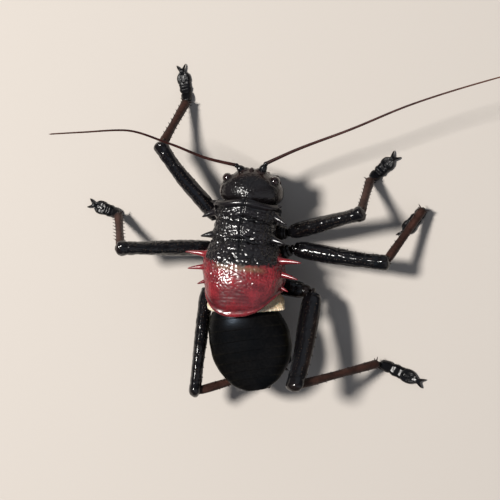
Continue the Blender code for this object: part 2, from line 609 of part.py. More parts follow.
for leg, (hip, knee, ankle, toe, half, deep, up, socket) in LEGS.items():
    hip, knee, ankle, toe, up, socket = map(Vector, (hip, knee, ankle, toe, up, socket))
    pair, word = leg.split("_")
    along = (knee - hip).normalized()

    # coxa with the small trochanter at its end
    span = hip - socket
    reach = span.normalized()
    coxa = [socket + span * t for t in (0.0, 0.25, 0.6, 0.86)] + [hip - reach * 0.45]
    wide = [s * (1.12 if pair == "hind" else 1.0) for s in (1.15, 1.5, 1.45, 1.05, 0.72)]
    node("coxa_" + leg, rod(coxa, wide, wide, (0, 0, 1), 8), "black")
    trunk = {"fore": prothorax, "mid": mesothorax, "hind": metathorax}[pair]
    boolean(trunk, helper("socket_" + leg, rod(coxa, wide, wide, (0, 0, 1), 8, grow=0.28)), "DIFFERENCE")

    # thigh, cut open below the knee for the head of the shin
    shares = (0.0, 0.04, 0.15, 0.40, 0.70, 0.86, 0.95, 1.0)
    path = [hip + along * (0.2 + ((knee - hip).length + 0.75) * t) for t in shares]
    bow = up.normalized() * 0.5 + Vector(BOW.get(leg, (0, 0, 0)))
    path = [p + bow * math.sin(math.pi * t**1.5) for p, t in zip(path, shares)]
    thigh = node(
        "femur_" + leg,
        rod(path, [half * THIGH(t) for t in shares], [deep * (THIGH_DEEP(t) if pair == "hind" else THIGH(t)) for t in shares], up, 9, bulge=(0.05, 0.12)),
        "black",
    )
    down = (ankle - knee).normalized()
    size = SHIN_HALF[pair]
    shares = (0.0, 0.03, 0.12, 0.5, 0.9, 0.97, 1.0)
    start = knee - along * 0.15
    path = [start + (ankle - start) * t for t in shares]
    lean = (Vector((0, 0, 1)) - down * down.z).normalized() if abs(down.z) < 0.95 else Vector((0, 1, 0))
    widths = [size * SHIN(t) for t in shares]
    shin = node("tibia_" + leg, rod(path, widths, widths, lean, 8, power=0.85, bulge=(0.1, 0.05)), "brown")
    boolean(thigh, helper("hip_" + leg, rod(coxa, wide, wide, (0, 0, 1), 8, grow=0.28)), "DIFFERENCE")
    boolean(thigh, helper("fork_" + leg, rod(path[:4], widths[:4], widths[:4], lean, 8, grow=0.27, power=0.85)), "DIFFERENCE")

    # rows of short thorns along the shin, and a longer pair at its end
    across = down.cross(lean).normalized()
    pins = []
    for k, t in enumerate((0.38, 0.68, 0.965)):
        centre = start + (ankle - start) * t
        long = 0.9 if t > 0.95 else 0.95
        for side in (-1, 1):
            if t > 0.95:
                way = (across * side + down * 0.55 + lean * 0.25).normalized()
            else:
                way = (across * side * 0.75 + lean * 0.75 + down * 0.35).normalized()
            pins.append(spike(centre + way * size * 0.45, centre + way * (size + long * 0.85), 0.22, 3, steps=1))
    boolean(shin, helper("pins_" + leg, joined(pins)), "UNION")

    # foot: two short joints, the lobed one, and the last with two claws; the soles are flat on the floor
    heel = Vector((ankle.x, ankle.y, 0.0)) + Vector((down.x, down.y, 0)).normalized() * 0.15
    length = (toe - heel).length
    fore = (toe - heel).normalized()
    side = Vector((fore.y, -fore.x, 0.0))
    rings = []
    for t in FOOT_STATIONS:
        middle = heel + fore * (length - 0.9) * t
        w, top, sole = FOOT_HALF(t), FOOT_TOP(t) + HEEL_RISE.get(leg, 0.6) * (1 - ease(t, 0.02, 0.28)), FOOT_SOLE(t)
        tall = top - sole
        ring = []
        for across_share, tall_share in ((-0.72, 0.0), (-1.0, 0.36), (-0.82, 0.8), (-0.32, 1.0), (0.32, 1.0), (0.82, 0.8), (1.0, 0.36), (0.72, 0.0)):
            ring.append(middle + side * w * across_share + Vector((0, 0, sole + tall * tall_share)))
        rings.append(ring)
    foot = node("tarsus_" + leg, loft(rings), "black")
    claws = []
    for turn in (-1, 1):
        root = heel + fore * (length - 1.35) + Vector((0, 0, 0.78)) + side * turn * 0.16
        point = heel + fore * (length - 0.05) + side * turn * 0.95 + Vector((0, 0, 0.32))
        claws.append(spike(root, point, 0.30, 4, (fore.x * 0.1, fore.y * 0.1, 0.22), 2))
    boolean(foot, helper("claws_" + leg, joined(claws)), "UNION")

# ---------------------------------------------------------------- the frame: floor centre of the bounding box at the origin

bpy.context.view_layer.update()
graph = bpy.context.evaluated_depsgraph_get()
low, high = Vector((9, 9, 9)), Vector((-9, -9, -9))
for obj in body_parts.objects:
    for v in obj.evaluated_get(graph).data.vertices:
        for axis in range(3):
            low[axis] = min(low[axis], v.co[axis])
            high[axis] = max(high[axis], v.co[axis])
shift = Vector((-(low.x + high.x) / 2, -(low.y + high.y) / 2, -low.z))
for obj in list(body_parts.objects) + list(helpers.objects):
    for v in obj.data.vertices:
        v.co += shift
    obj.data.update()
print("shift in mm:", [round(c / MM, 4) for c in shift], "box:", [round(c / MM, 2) for c in (high - low)])
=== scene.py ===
import math

import bpy
import numpy as np
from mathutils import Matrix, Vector


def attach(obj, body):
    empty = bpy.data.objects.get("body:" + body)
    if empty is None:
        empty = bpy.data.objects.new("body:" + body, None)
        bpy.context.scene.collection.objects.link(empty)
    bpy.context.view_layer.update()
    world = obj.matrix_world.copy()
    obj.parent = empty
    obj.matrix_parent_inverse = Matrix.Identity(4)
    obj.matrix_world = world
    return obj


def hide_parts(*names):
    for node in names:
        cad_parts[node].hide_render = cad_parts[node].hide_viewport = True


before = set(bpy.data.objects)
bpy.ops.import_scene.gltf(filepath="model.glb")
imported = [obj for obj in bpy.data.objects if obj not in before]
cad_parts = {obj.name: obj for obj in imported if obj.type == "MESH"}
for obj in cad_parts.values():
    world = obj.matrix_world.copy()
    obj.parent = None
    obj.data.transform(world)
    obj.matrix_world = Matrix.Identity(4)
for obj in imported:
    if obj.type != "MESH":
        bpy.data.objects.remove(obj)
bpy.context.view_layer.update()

MM = 0.001
SHIFT = np.array([-8.4707, -4.5303, 0.0])  # from the modelling frame, in mm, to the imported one

# ---------------------------------------------------------------- small maths


def curve_through(knots):
    """A smooth function through (position, value) knots, which doesn't overshoot them; it takes arrays."""
    knots = sorted(knots)
    xs = np.array([k[0] for k in knots], float)
    ys = np.array([k[1] for k in knots], float)
    h = np.diff(xs)
    d = np.diff(ys) / h
    m = np.zeros(len(xs))
    m[0], m[-1] = d[0], d[-1]
    for i in range(1, len(xs) - 1):
        if d[i - 1] * d[i] > 0:
            a, b = 2 * h[i] + h[i - 1], h[i] + 2 * h[i - 1]
            m[i] = (a + b) / (a / d[i - 1] + b / d[i])

    def value(x):
        x = np.clip(np.asarray(x, float), xs[0], xs[-1])
        i = np.clip(np.searchsorted(xs, x, side="right") - 1, 0, len(h) - 1)
        t = (x - xs[i]) / h[i]
        return (
            (2 * t**3 - 3 * t**2 + 1) * ys[i]
            + (t**3 - 2 * t**2 + t) * h[i] * m[i]
            + (3 * t**2 - 2 * t**3) * ys[i + 1]
            + (t**3 - t**2) * h[i] * m[i + 1]
        )

    return value


def ease(x, low, high):
    t = np.clip((np.asarray(x, float) - low) / (high - low), 0, 1)
    return t * t * (3 - 2 * t)


def hump(x, middle, width):
    return np.exp(-(((np.asarray(x, float) - middle) / width) ** 2))


def unit(v):
    v = np.asarray(v, float)
    return v / np.maximum(np.linalg.norm(v, axis=-1, keepdims=True), 1e-12)


def scatter(cell, seed):
    """A number from 0 to 1 for each whole-number place."""
    a = cell.astype(np.int64)
    h = (a[..., 0] * 374761393 + a[..., 1] * 668265263 + a[..., 2] * 914744123 + seed * 127412617) & 0xFFFFFFFF
    h = ((h ^ (h >> 13)) * 1103515245) & 0xFFFFFFFF
    h = ((h ^ (h >> 15)) * 668265263) & 0xFFFFFFFF
    return (h ^ (h >> 16)) / 4294967295.0


def noise(points, size, seed=0):
    """Smooth noise from -1 to 1 with lumps of about this size in mm; size may differ by axis."""
    p = points / np.asarray(size, float)
    base = np.floor(p)
    f = p - base
    f = f * f * (3 - 2 * f)
    total = 0.0
    for dx in (0, 1):
        for dy in (0, 1):
            for dz in (0, 1):
                share = (
                    (f[..., 0] if dx else 1 - f[..., 0])
                    * (f[..., 1] if dy else 1 - f[..., 1])
                    * (f[..., 2] if dz else 1 - f[..., 2])
                )
                total = total + share * scatter(base + np.array([dx, dy, dz]), seed)
    return total * 2 - 1


def clouds(points, size, seed=0, layers=3):
    total, weight, norm = 0.0, 1.0, 0.0
    for k in range(layers):
        total = total + weight * noise(points, np.asarray(size, float) / 2**k, seed + 17 * k)
        norm += weight
        weight *= 0.5
    return total / norm


def pebbles(points, size, seed=0, spread=0.9, flat=False):
    """Distances, in cells, to the nearest and second nearest of scattered spots, and the nearest spot's own number.
    Flat ones lie scattered over the first two coordinates only."""
    p = points / np.asarray(size, float)
    base = np.floor(p)
    first = np.full(p.shape[:-1], 9.0)
    second = first.copy()
    own = np.zeros(p.shape[:-1])
    for dx in (-1, 0, 1):
        for dy in (-1, 0, 1):
            for dz in (0,) if flat else (-1, 0, 1):
                cell = base + np.array([dx, dy, dz])
                spot = cell + 0.5 + spread * (np.stack([scatter(cell, seed + k) for k in (1, 2, 3)], -1) - 0.5)
                far = np.linalg.norm((p - spot)[..., : 2 if flat else 3], axis=-1)
                near = far < first
                second = np.where(near, first, np.minimum(second, far))
                own = np.where(near, scatter(cell, seed + 9), own)
                first = np.where(near, far, first)
    return first, second, own


def domes(points, size, seed, wide=0.6, flat=False):
    """Rounded grains from 0 to 1, each of its own height."""
    first, _, own = pebbles(points, size, seed, 0.8 if flat else 0.9, flat)
    return np.clip(1 - (first / wide) ** 2, 0, 1) * ((0.55 + 0.45 * own) if flat else (0.35 + 0.65 * own))


def turn_about(v, axis, angle):
    axis = unit(axis)
    return v * math.cos(angle) + np.cross(axis, v) * math.sin(angle) + axis * np.dot(axis, v) * (1 - math.cos(angle))


# ---------------------------------------------------------------- building a piece from patches


def facing(grid, wrap):
    """The outward direction at each point of a patch."""
    if wrap:
        du = np.roll(grid, -1, 1) - np.roll(grid, 1, 1)
    else:
        du = np.gradient(grid, axis=1)
    dv = np.gradient(grid, axis=0)
    n = unit(np.cross(du, dv))
    middle = grid.mean(axis=1, keepdims=True)
    return -n if (n * (grid - middle)).sum() < 0 else n


class Skin:
    """One piece of the model, gathered patch by patch. Points are in mm in the modelling frame."""

    # rise is the height of the relief; the looks turn low rise into painted shade in the hollows
    MARKS = ("zone", "rise", "trim")

    def __init__(self):
        self.points, self.faces, self.places, self.sizes = [], [], [], []
        self.marks = {m: [] for m in self.MARKS}
        self.count = 0

    def patch(self, grid, wrap=True, tips=(None, None), relief=None, zone=0.0, rise=None, trim=0.0, outward=None):
        """A sheet of rows by around points; with tips it closes on a point at either end."""
        rows, around = grid.shape[:2]
        n = facing(grid, wrap) if outward is None else outward
        if relief is not None:
            grid = grid + n * relief[..., None]
        if rise is None:
            rise = 0.5 if relief is None else np.clip(0.5 + relief / 0.3, 0, 1)
        start = self.count
        number = start + np.arange(rows * around).reshape(rows, around)
        left, right = number, np.roll(number, -1, 1)
        if not wrap:
            left, right = left[:, :-1], right[:, :-1]
        quads = np.stack([left[:-1], right[:-1], right[1:], left[1:]], -1).reshape(-1, 4)
        spans = left.shape[1]
        a = (np.arange(spans) / spans)[None, :].repeat(rows - 1, 0)
        b = a + 1 / spans
        low = ((np.arange(rows - 1) + 1) / (rows + 1))[:, None].repeat(spans, 1)
        high = low + 1 / (rows + 1)
        place = np.stack([np.stack([a, low], -1), np.stack([b, low], -1), np.stack([b, high], -1), np.stack([a, high], -1)], 2)
        place = place.reshape(-1, 4, 2)
        sample = quads[:: max(1, len(quads) // 400)] - start
        flat = grid.reshape(-1, 3)
        face_n = np.cross(flat[sample[:, 2]] - flat[sample[:, 0]], flat[sample[:, 3]] - flat[sample[:, 1]])
        flip = (face_n * n.reshape(-1, 3)[sample[:, 0]]).sum() < 0
        if flip:
            quads, place = quads[:, ::-1], place[:, ::-1]
        faces = [list(q) for q in quads.tolist()]
        places = [place.reshape(-1, 2)]
        points = [flat]
        extra = 0
        for end, tip in enumerate(tips):
            if tip is None and wrap and start > 0 and around <= 60:  # the foot of a thorn or knob, inside the skin, is closed flat
                tip = grid[-end].mean(0)
            if tip is None:
                continue
            index = start + rows * around + extra
            extra += 1
            points.append(np.asarray(tip, float).reshape(1, 3))
            row = left[0] if end == 0 else left[-1]
            following = right[0] if end == 0 else right[-1]
            v_row, v_tip = (1 / (rows + 1), 0.0) if end == 0 else (rows / (rows + 1), 1.0)
            for k in range(spans):
                corner = [(k / spans, v_row), ((k + 1) / spans, v_row), ((k + 0.5) / spans, v_tip)]
                face = [int(row[k]), int(following[k]), index]
                if (end == 0) != flip:
                    face, corner = face[::-1], corner[::-1]
                faces.append(face)
                places.append(np.array(corner))
        self.points.append(np.concatenate(points))
        self.faces += faces
        self.places.append(np.concatenate(places))
        total = rows * around + extra
        for name, value in (("zone", zone), ("rise", rise), ("trim", trim)):
            value = np.broadcast_to(np.asarray(value, float), (rows, around)).reshape(-1)
            if extra:
                value = np.concatenate([value, np.full(extra, value[-1] if tips[1] is not None else value[0])])
            self.marks[name].append(value)
        self.count += total
        width = np.linalg.norm(np.diff(grid, axis=1), axis=-1).sum(1).max()
        length = np.linalg.norm(np.diff(grid, axis=0), axis=-1).sum(0).max()
        self.sizes.append((max(width, 0.05), max(length, 0.05)))
        return grid

    def made(self, name, slot, nodes, look):
        points = (np.concatenate(self.points) + SHIFT) * MM
        mesh = bpy.data.meshes.new(name)
        mesh.from_pydata(points.tolist(), [], self.faces)
        mesh.update()
        for m in self.MARKS:
            layer = mesh.attributes.new(m, "FLOAT", "POINT")
            layer.data.foreach_set("value", np.concatenate(self.marks[m]).astype(np.float32))
        spots, scale = shelves(self.sizes)
        placed = []
        for (x, y, swap), place, (w, l) in zip(spots, self.places, self.sizes):
            p = place[:, ::-1] if swap else place
            size = np.array([l, w] if swap else [w, l]) * scale
            placed.append(np.array([x, y]) + p * size)
        layer = mesh.uv_layers.new(name="OFBake")
        layer.uv.foreach_set("vector", np.concatenate(placed).astype(np.float32).ravel())
        mesh.polygons.foreach_set("use_smooth", np.ones(len(mesh.polygons), bool))
        mesh.materials.append(look)
        made = bpy.data.objects.new(name, mesh)
        bpy.context.scene.collection.objects.link(made)
        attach(made, "root")
        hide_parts(*nodes)
        return made


def shelves(sizes):
    """A corner for each box so that all of them lie side by side in a unit square, and the scale used."""
    boxes = [(max(s), min(s), s[1] > s[0]) for s in sizes]
    order = sorted(range(len(boxes)), key=lambda k: -boxes[k][1])
    scale = 0.97 / math.sqrt(sum(b[0] * b[1] for b in boxes))
    while True:
        x = y = shelf = 0.0
        gap = 0.003 if len(boxes) < 60 else 0.0012
        spots, fits = {}, True
        for k in order:
            w, h = boxes[k][0] * scale + gap, boxes[k][1] * scale + gap
            if w > 1:
                fits = False
                break
            if x + w > 1:
                x, y, shelf = 0.0, y + shelf, 0.0
            shelf = max(shelf, h)
            spots[k] = (x + gap / 2, y + gap / 2, boxes[k][2])
            x += w
        if fits and y + shelf <= 1:
            return [spots[k] for k in range(len(boxes))], scale
        scale *= 0.95


def smooth_line(points, values, steps, spread=None):
    """Points along a smooth line through the given ones, with values (a dict of lists) carried along it."""
    points = np.asarray(points, float)
    far = np.concatenate([[0], np.cumsum(np.linalg.norm(np.diff(points, axis=0), axis=1))])
    s = np.linspace(0, far[-1], steps) if spread is None else np.asarray(spread) * far[-1]
    line = np.stack([curve_through(list(zip(far, points[:, k])))(s) for k in range(3)], -1)
    return line, {k: curve_through(list(zip(far, v)))(s) for k, v in values.items()}


def rod_grid(path, side_half, up_half, up, around, power=1.0, squash=None):
    """Rings along a path; `squash` may reshape (cosine, sine) per ring as a function of the row share."""
    path = np.asarray(path, float)
    forward = unit(np.gradient(path, axis=0))
    side = unit(np.cross(forward, np.asarray(up, float)))
    top = unit(np.cross(side, forward))
    angle = 2 * np.pi * (np.arange(around) + 0.5) / around
    c = np.sign(np.cos(angle)) * np.abs(np.cos(angle)) ** power
    s = np.sign(np.sin(angle)) * np.abs(np.sin(angle)) ** power
    c, s = np.broadcast_to(c, (len(path), around)), np.broadcast_to(s, (len(path), around))
    if squash is not None:
        c, s = squash(np.linspace(0, 1, len(path))[:, None], c, s)
    a, b = np.broadcast_to(side_half, len(path)), np.broadcast_to(up_half, len(path))
    grid = path[:, None] + side[:, None] * (a[:, None] * c)[..., None] + top[:, None] * (b[:, None] * s)[..., None]
    return grid, (angle, forward, side, top)


def rounded(sizes, ends=(0.5, 0.5), rows=None):
    """Sizes pulled in smoothly over the first and last rows, so that the tube closes as a dome."""
    t = np.linspace(0, 1, len(sizes))
    first, last = (e / max(len(sizes), 1) for e in ends)
    return sizes * np.sqrt(np.clip(1 - np.clip(1 - t / max(first, 1e-6), 0, 1) ** 2, 0.02, 1)) * np.sqrt(
        np.clip(1 - np.clip(1 - (1 - t) / max(last, 1e-6), 0, 1) ** 2, 0.02, 1)
    )


def thorn(skin, base, tip, radius, bend=(0, 0, 0), around=20, rows=26, flare=0.6, zone=0.0, trim=None, grain=0.0, sharp=0.66, seed=5):
    """A horn-like point with a spread foot."""
    base, tip, bend = (np.asarray(v, float) for v in (base, tip, bend))
    t = np.linspace(0, 1, rows)
    path = base + (tip - base) * t[:, None] + bend * (4 * t * (1 - t))[:, None]
    size = radius * ((1 - t) ** sharp * 0.92 + 0.08 + flare * np.exp(-t / 0.09))
    up = (0, 0, 1) if abs(unit(tip - base)[2]) < 0.8 else (0, 1, 0)
    grid, _ = rod_grid(path, size, size, up, around)
    relief = None
    if grain:
        relief = grain * clouds(grid, (0.5, 0.5, 0.5), seed) * (1 - t[:, None]) ** 0.5
    edge = np.broadcast_to(t[:, None] if trim is None else trim(t)[:, None], grid.shape[:2])
    skin.patch(grid, tips=(None, tip + unit(tip - base) * radius * 0.05), relief=relief, zone=zone, trim=edge, rise=0.6)


# ---------------------------------------------------------------- looks


def look(name, deep, base, zone=None, trim=None, rough=(0.2, 0.4), coat=0.0, coat_rough=0.08, patchy=0.0028, grain=0.00035,
         bump=0.000012, pit=None, specular=0.5, scatter_through=0.0, sheen=0.0, shade_in_hollows=0.45):
    """A horny finish: cloudy colour with painted shade darkening the hollows of the relief, and fine relief. zone and
    trim colour the marked areas.
    """
    made = bpy.data.materials.new(name)
    made.use_nodes = True
    tree = made.node_tree
    shader = tree.nodes["Principled BSDF"]

    def add(kind, **inputs):
        n = tree.nodes.new(kind)
        for key, value in inputs.items():
            n.inputs[key.replace("_", " ")].default_value = value
        return n

    def link(a, b):
        tree.links.new(a, b)

    def blend(factor, one, two, kind="MIX"):
        n = tree.nodes.new("ShaderNodeMix")
        n.data_type = "RGBA"
        n.blend_type = kind
        for socket, value in ((n.inputs[0], factor), (n.inputs[6], one), (n.inputs[7], two)):
            if isinstance(value, bpy.types.NodeSocket):
                link(value, socket)
            elif isinstance(value, (int, float)):
                socket.default_value = value
            else:
                socket.default_value = (*value, 1.0)
        return n.outputs[2]

    def spread_of(value, low, high, out_low=0.0, out_high=1.0):
        n = tree.nodes.new("ShaderNodeMapRange")
        n.interpolation_type = "SMOOTHSTEP"
        link(value, n.inputs[0])
        for k, v in enumerate((low, high, out_low, out_high), 1):
            n.inputs[k].default_value = v
        return n.outputs[0]

    place = tree.nodes.new("ShaderNodeTexCoord").outputs["Object"]
    cloud = add("ShaderNodeTexNoise", Scale=1 / patchy, Detail=4.0, Roughness=0.6)
    fine = add("ShaderNodeTexNoise", Scale=1 / grain, Detail=3.0, Roughness=0.55)
    for n in (cloud, fine):
        link(place, n.inputs["Vector"])
    marks = {}
    for m in Skin.MARKS:
        n = tree.nodes.new("ShaderNodeAttribute")
        n.attribute_name = m
        marks[m] = n.outputs["Fac"]
    cloudy = spread_of(cloud.outputs["Fac"], 0.3, 0.7)
    colour = blend(cloudy, deep, base)
    if zone is not None:
        dark_zone, light_zone = zone
        tinted = blend(cloudy, dark_zone, light_zone)
        colour = blend(marks["zone"], colour, tinted)
    if trim is not None:
        colour = blend(marks["trim"], colour, trim)
    # painted shade: the colour is darkened where the relief lies low
    painted_hollow_shade = spread_of(marks["rise"], 0.05, 0.75, shade_in_hollows, 1.0)
    speck = spread_of(fine.outputs["Fac"], 0.35, 0.65, 0.82, 1.12)
    n = tree.nodes.new("ShaderNodeMath")
    n.operation = "MULTIPLY"
    link(painted_hollow_shade, n.inputs[0])
    link(speck, n.inputs[1])
    n2 = tree.nodes.new("ShaderNodeVectorMath")
    n2.operation = "SCALE"
    link(colour, n2.inputs[0])
    link(n.outputs[0], n2.inputs["Scale"])
    link(n2.outputs[0], shader.inputs["Base Color"])
    link(spread_of(cloud.outputs["Fac"], 0.25, 0.75, rough[1], rough[0]), shader.inputs["Roughness"])
    height = fine.outputs["Fac"]
    if pit is not None:
        cell = add("ShaderNodeTexVoronoi", Scale=1 / pit)
        link(place, cell.inputs["Vector"])
        n = tree.nodes.new("ShaderNodeMath")
        n.operation = "ADD"
        link(height, n.inputs[0])
        link(spread_of(cell.outputs["Distance"], 0.0, 0.45), n.inputs[1])
        height = n.outputs[0]
    push = add("ShaderNodeBump", Strength=1.0, Distance=bump)
    link(height, push.inputs["Height"])
    link(push.outputs[0], shader.inputs["Normal"])
    shader.inputs["Coat Weight"].default_value = coat
    shader.inputs["Coat Roughness"].default_value = coat_rough
    shader.inputs["Specular IOR Level"].default_value = specular
    if scatter_through:
        shader.inputs["Subsurface Weight"].default_value = scatter_through
        shader.inputs["Subsurface Radius"].default_value = (1.0, 0.4, 0.25)
        shader.inputs["Subsurface Scale"].default_value = 0.0006
    shader.inputs["Sheen Weight"].default_value = sheen
    return made


CRIMSON = ((0.105, 0.0085, 0.0130), (0.250, 0.0220, 0.0285))
LOOKS = {
    "shield": look("shield", (0.0040, 0.0032, 0.0038), (0.0100, 0.0080, 0.0092), CRIMSON, (0.15, 0.098, 0.055), (0.20, 0.31), 0.08, 0.14,
                   bump=0.000002, shade_in_hollows=0.30, specular=0.52),
    "head": look("head", (0.0042, 0.0033, 0.0036), (0.0098, 0.0078, 0.0084), ((0.019, 0.0078, 0.0050), (0.042, 0.0175, 0.0110)), (0.035, 0.02, 0.014),
                 (0.18, 0.27), 0.05, 0.12, bump=0.000005, grain=0.00022, specular=0.50),
    "black": look("black", (0.0016, 0.0015, 0.0020), (0.0048, 0.0045, 0.0055), ((0.009, 0.0050, 0.0034), (0.022, 0.0120, 0.0078)), (0.05, 0.032, 0.022),
                  (0.13, 0.22), 0.15, 0.08, bump=0.000002, specular=0.36),
    "foot": look("foot", (0.0016, 0.0015, 0.0020), (0.0050, 0.0048, 0.0060), ((0.009, 0.0050, 0.0034), (0.022, 0.0120, 0.0078)), (0.05, 0.032, 0.022),
                 (0.24, 0.34), 0.0, 0.2, bump=0.000003, specular=0.20),
    "thorax": look("thorax", (0.007, 0.0055, 0.005), (0.022, 0.015, 0.012), ((0.035, 0.021, 0.015), (0.08, 0.05, 0.034)), (0.16, 0.10, 0.07),
                   (0.28, 0.42), 0.08, 0.2, specular=0.35),
    "abdomen": look("abdomen", (0.0020, 0.0019, 0.0018), (0.0050, 0.0045, 0.0042), ((0.009, 0.0085, 0.005), (0.028, 0.0225, 0.0125)), (0.062, 0.048, 0.031),
                    (0.27, 0.37), 0.0, 0.25, patchy=0.004, bump=0.000002, grain=0.0005, specular=0.075),
    "cream": look("cream", (0.46, 0.33, 0.19), (0.58, 0.43, 0.26), ((0.62, 0.50, 0.34), (0.76, 0.68, 0.52)), (0.26, 0.155, 0.08),
                  (0.34, 0.5), 0.1, 0.2, scatter_through=0.25, bump=0.000008, shade_in_hollows=0.7),
    "brown": look("brown", (0.023, 0.0105, 0.0080), (0.045, 0.0200, 0.0150), ((0.042, 0.0185, 0.0138), (0.070, 0.0310, 0.0230)), (0.009, 0.005, 0.004),
                  (0.38, 0.48), 0.0, 0.2, bump=0.000003, specular=0.14),
    "feeler": look("feeler", (0.024, 0.006, 0.0045), (0.052, 0.0145, 0.011), ((0.006, 0.0035, 0.0035), (0.014, 0.007, 0.006)), (0.11, 0.045, 0.03),
                   (0.42, 0.55), 0.0, 0.2, shade_in_hollows=0.4, specular=0.15),
    "eye": look("eye", (0.004, 0.002, 0.002), (0.016, 0.005, 0.004), None, None, (0.06, 0.10), 0.8, 0.03, patchy=0.0012, grain=0.00008,
                bump=0.0000002),
    "membrane": look("membrane", (0.07, 0.045, 0.035), (0.17, 0.115, 0.085), None, None, (0.42, 0.6), 0.0, 0.2, bump=0.00002),
}

for part in LOOKS["abdomen"].node_tree.nodes:  # its sheen is bluish
    if part.type == "BSDF_PRINCIPLED":
        part.inputs["Specular Tint"].default_value = (0.62, 0.78, 1.0, 1.0)

# ---------------------------------------------------------------- the body's own coordinates

CENTRE = curve_through(
    ((17, 1.0), (11.2, 0.6), (7.5, -0.35), (2.6, -0.75), (-2.4, -0.65), (-6.6, -0.68), (-12.4, -0.85), (-17, 0.0),
     (-22, 0.95), (-29, 2.0))
)
HEADING = curve_through(
    ((17, 4.7), (9, 5.5), (-5, 5.5), (-8, 3.0), (-13, -4.0), (-17, -8.0), (-29, -9.0))
)


def at(y, lateral, z):
    """The point this far to the right of the centre line, at station y and height z."""
    turn = np.radians(HEADING(y))
    y, lateral, z = np.broadcast_arrays(y, lateral, z)
    return np.stack([CENTRE(y) + lateral * np.cos(turn), y - lateral * np.sin(turn), z], -1)


def arch(half, up, down, angle, power=1.0):
    s, c = np.sin(angle), np.cos(angle)
    lateral = half * np.sign(s) * np.abs(s) ** power
    return lateral, np.where(c > 0, up, down) * np.sign(c) * np.abs(c) ** power


P_HALF = curve_through(
    ((9.8, 6.25), (8.6, 6.75), (7.0, 6.35), (5.6, 5.95), (2.6, 6.3), (0.2, 6.95), (-2.4, 7.85), (-4.5, 8.05),
     (-7.0, 7.75), (-10.0, 7.4), (-13.6, 6.9))
)
P_LEVEL = curve_through(((9.8, 11.5), (2.0, 11.8), (-3.0, 12.8), (-8.0, 13.2), (-13.6, 13.4)))
P_TOP = curve_through(
    ((9.8, 16.7), (8.9, 17.0), (7.6, 16.75), (6.0, 16.5), (4.6, 16.85), (3.2, 17.1), (2.0, 17.0), (0.4, 17.6),
     (-1.6, 18.35), (-3.2, 18.8), (-6.0, 19.1), (-10.0, 18.7), (-13.6, 18.0))
)
P_DEEP, SHIELD, WING = 6.5, 0.62, 0.5
P_REACH = curve_through(((9.8, 106), (6.0, 112), (1.0, 110), (-3.0, 104), (-6.5, 96), (-10.0, 87), (-13.6, 80)))
P_FRONT, P_REAR = 9.7, -12.85
P_REAR_CURVE = curve_through(
    ((-1.0, 5.2), (-0.85, 4.2), (-0.7, 2.9), (-0.5, 1.4), (-0.35, 0.7), (-0.2, 0.22), (0, 0), (0.2, 0.32), (0.35, 0.98), (0.5, 2.0),
     (0.7, 3.7), (0.85, 4.6), (1.0, 5.25))
)


def shield_station(along, share):
    front = P_FRONT - 1.5 * np.abs(share) ** 2.2 + 0.25 * np.cos(share * 9.0) - 0.25
    rear = P_REAR + P_REAR_CURVE(share)
    return front + (rear - front) * along


def shield_point(y, share, inward):
    angle = np.radians(P_REACH(y)) * share
    level = P_LEVEL(y)
    power = 0.94 - 0.16 * np.clip((2.0 - y) / 6.0, 0.0, 1.0)
    lateral, height = arch(P_HALF(y) - inward, P_TOP(y) - level - inward, P_DEEP, angle, power)
    return at(y, lateral, level + height)


def shell_loop(outer, inner, rim=5):
    """(share along, share inward, push past the edge) round a plate's long section: out along the top, back below."""
    phi = np.linspace(0, np.pi, rim + 2)[1:-1]
    along = np.concatenate([np.linspace(0, 1, outer), np.ones(rim), np.linspace(1, 0, inner), np.zeros(rim)])
    inward = np.concatenate([np.zeros(outer), (1 - np.cos(phi)) / 2, np.ones(inner), (1 + np.cos(phi)) / 2])
    push = np.concatenate([np.zeros(outer), -np.sin(phi), np.zeros(inner), np.sin(phi)])
    return along, inward, push


def closing(rows_grid, thickness_mid, out):
    """Extra rows that round off the last row of a plate towards its middle line."""
    extra = []
    for phi in (0.5, 1.0, 1.35, math.pi / 2):
        extra.append(thickness_mid + (rows_grid - thickness_mid) * math.cos(phi) + out * math.sin(phi))
    return extra


# ---------------------------------------------------------------- pronotum

THORNS = (
    (8.9, 0.8, 15, 8, 0.42, 13.4),
    (7.2, 3.1, -26, 8, 0.66, 13.4),
    (2.6, 2.9, -12, 10, 0.66, 13.6),
    (-1.6, 4.8, 2, 8, 0.74, 14.4),
    (-4.05, 3.8, -10, 8, 0.64, 14.6),
    (-6.6, 2.0, -22, 8, 0.50, 14.4),
)


def thorn_ends(side, given):
    station, length, turn, rise, radius, level = given
    base = at(station, side * (P_HALF(station) - 0.75), level)
    turned = math.radians(HEADING(station)) - side * math.radians(turn)
    rise += 9 * side
    flat = math.cos(math.radians(rise))
    way = np.array([side * math.cos(turned) * flat, -side * math.sin(turned) * flat, math.sin(math.radians(rise))])
    return base, base + way * (length * (0.9 if side < 0 else 1.0) + 0.45)


along, inward, push = shell_loop(330, 60)
share = np.sin(np.linspace(-0.5, 0.5, 262) * math.pi * 0.86) / math.sin(0.43 * math.pi)
station = shield_station(along[None], share[:, None]) + 0.28 * push[None] + 0.15 * ease(-along[None] * 22.5, -1.5, 0.0) * (1 - ease(np.abs(share[:, None]), 0.3, 0.6))
grid = shield_point(station, share[:, None], SHIELD * inward[None])
outer_side = (inward[None] < 0.5) * np.ones_like(grid[..., 0])
inner_line = shield_point(station, share[:, None], SHIELD - SHIELD * inward[None])
first = closing(grid[0], (grid[0] + inner_line[0]) / 2, np.array([0, 0, -0.25]))[::-1]
last = closing(grid[-1], (grid[-1] + inner_line[-1]) / 2, np.array([0, 0, -0.25]))
grid = np.concatenate([first, grid, last])
pad = len(first)
station = np.pad(station, ((pad, pad), (0, 0)), mode="edge")
wide = np.pad(share, pad, mode="edge")[:, None]
outer_side = np.pad(outer_side, ((pad, pad), (0, 0)), mode="edge")
along = along[None] * np.ones_like(station)

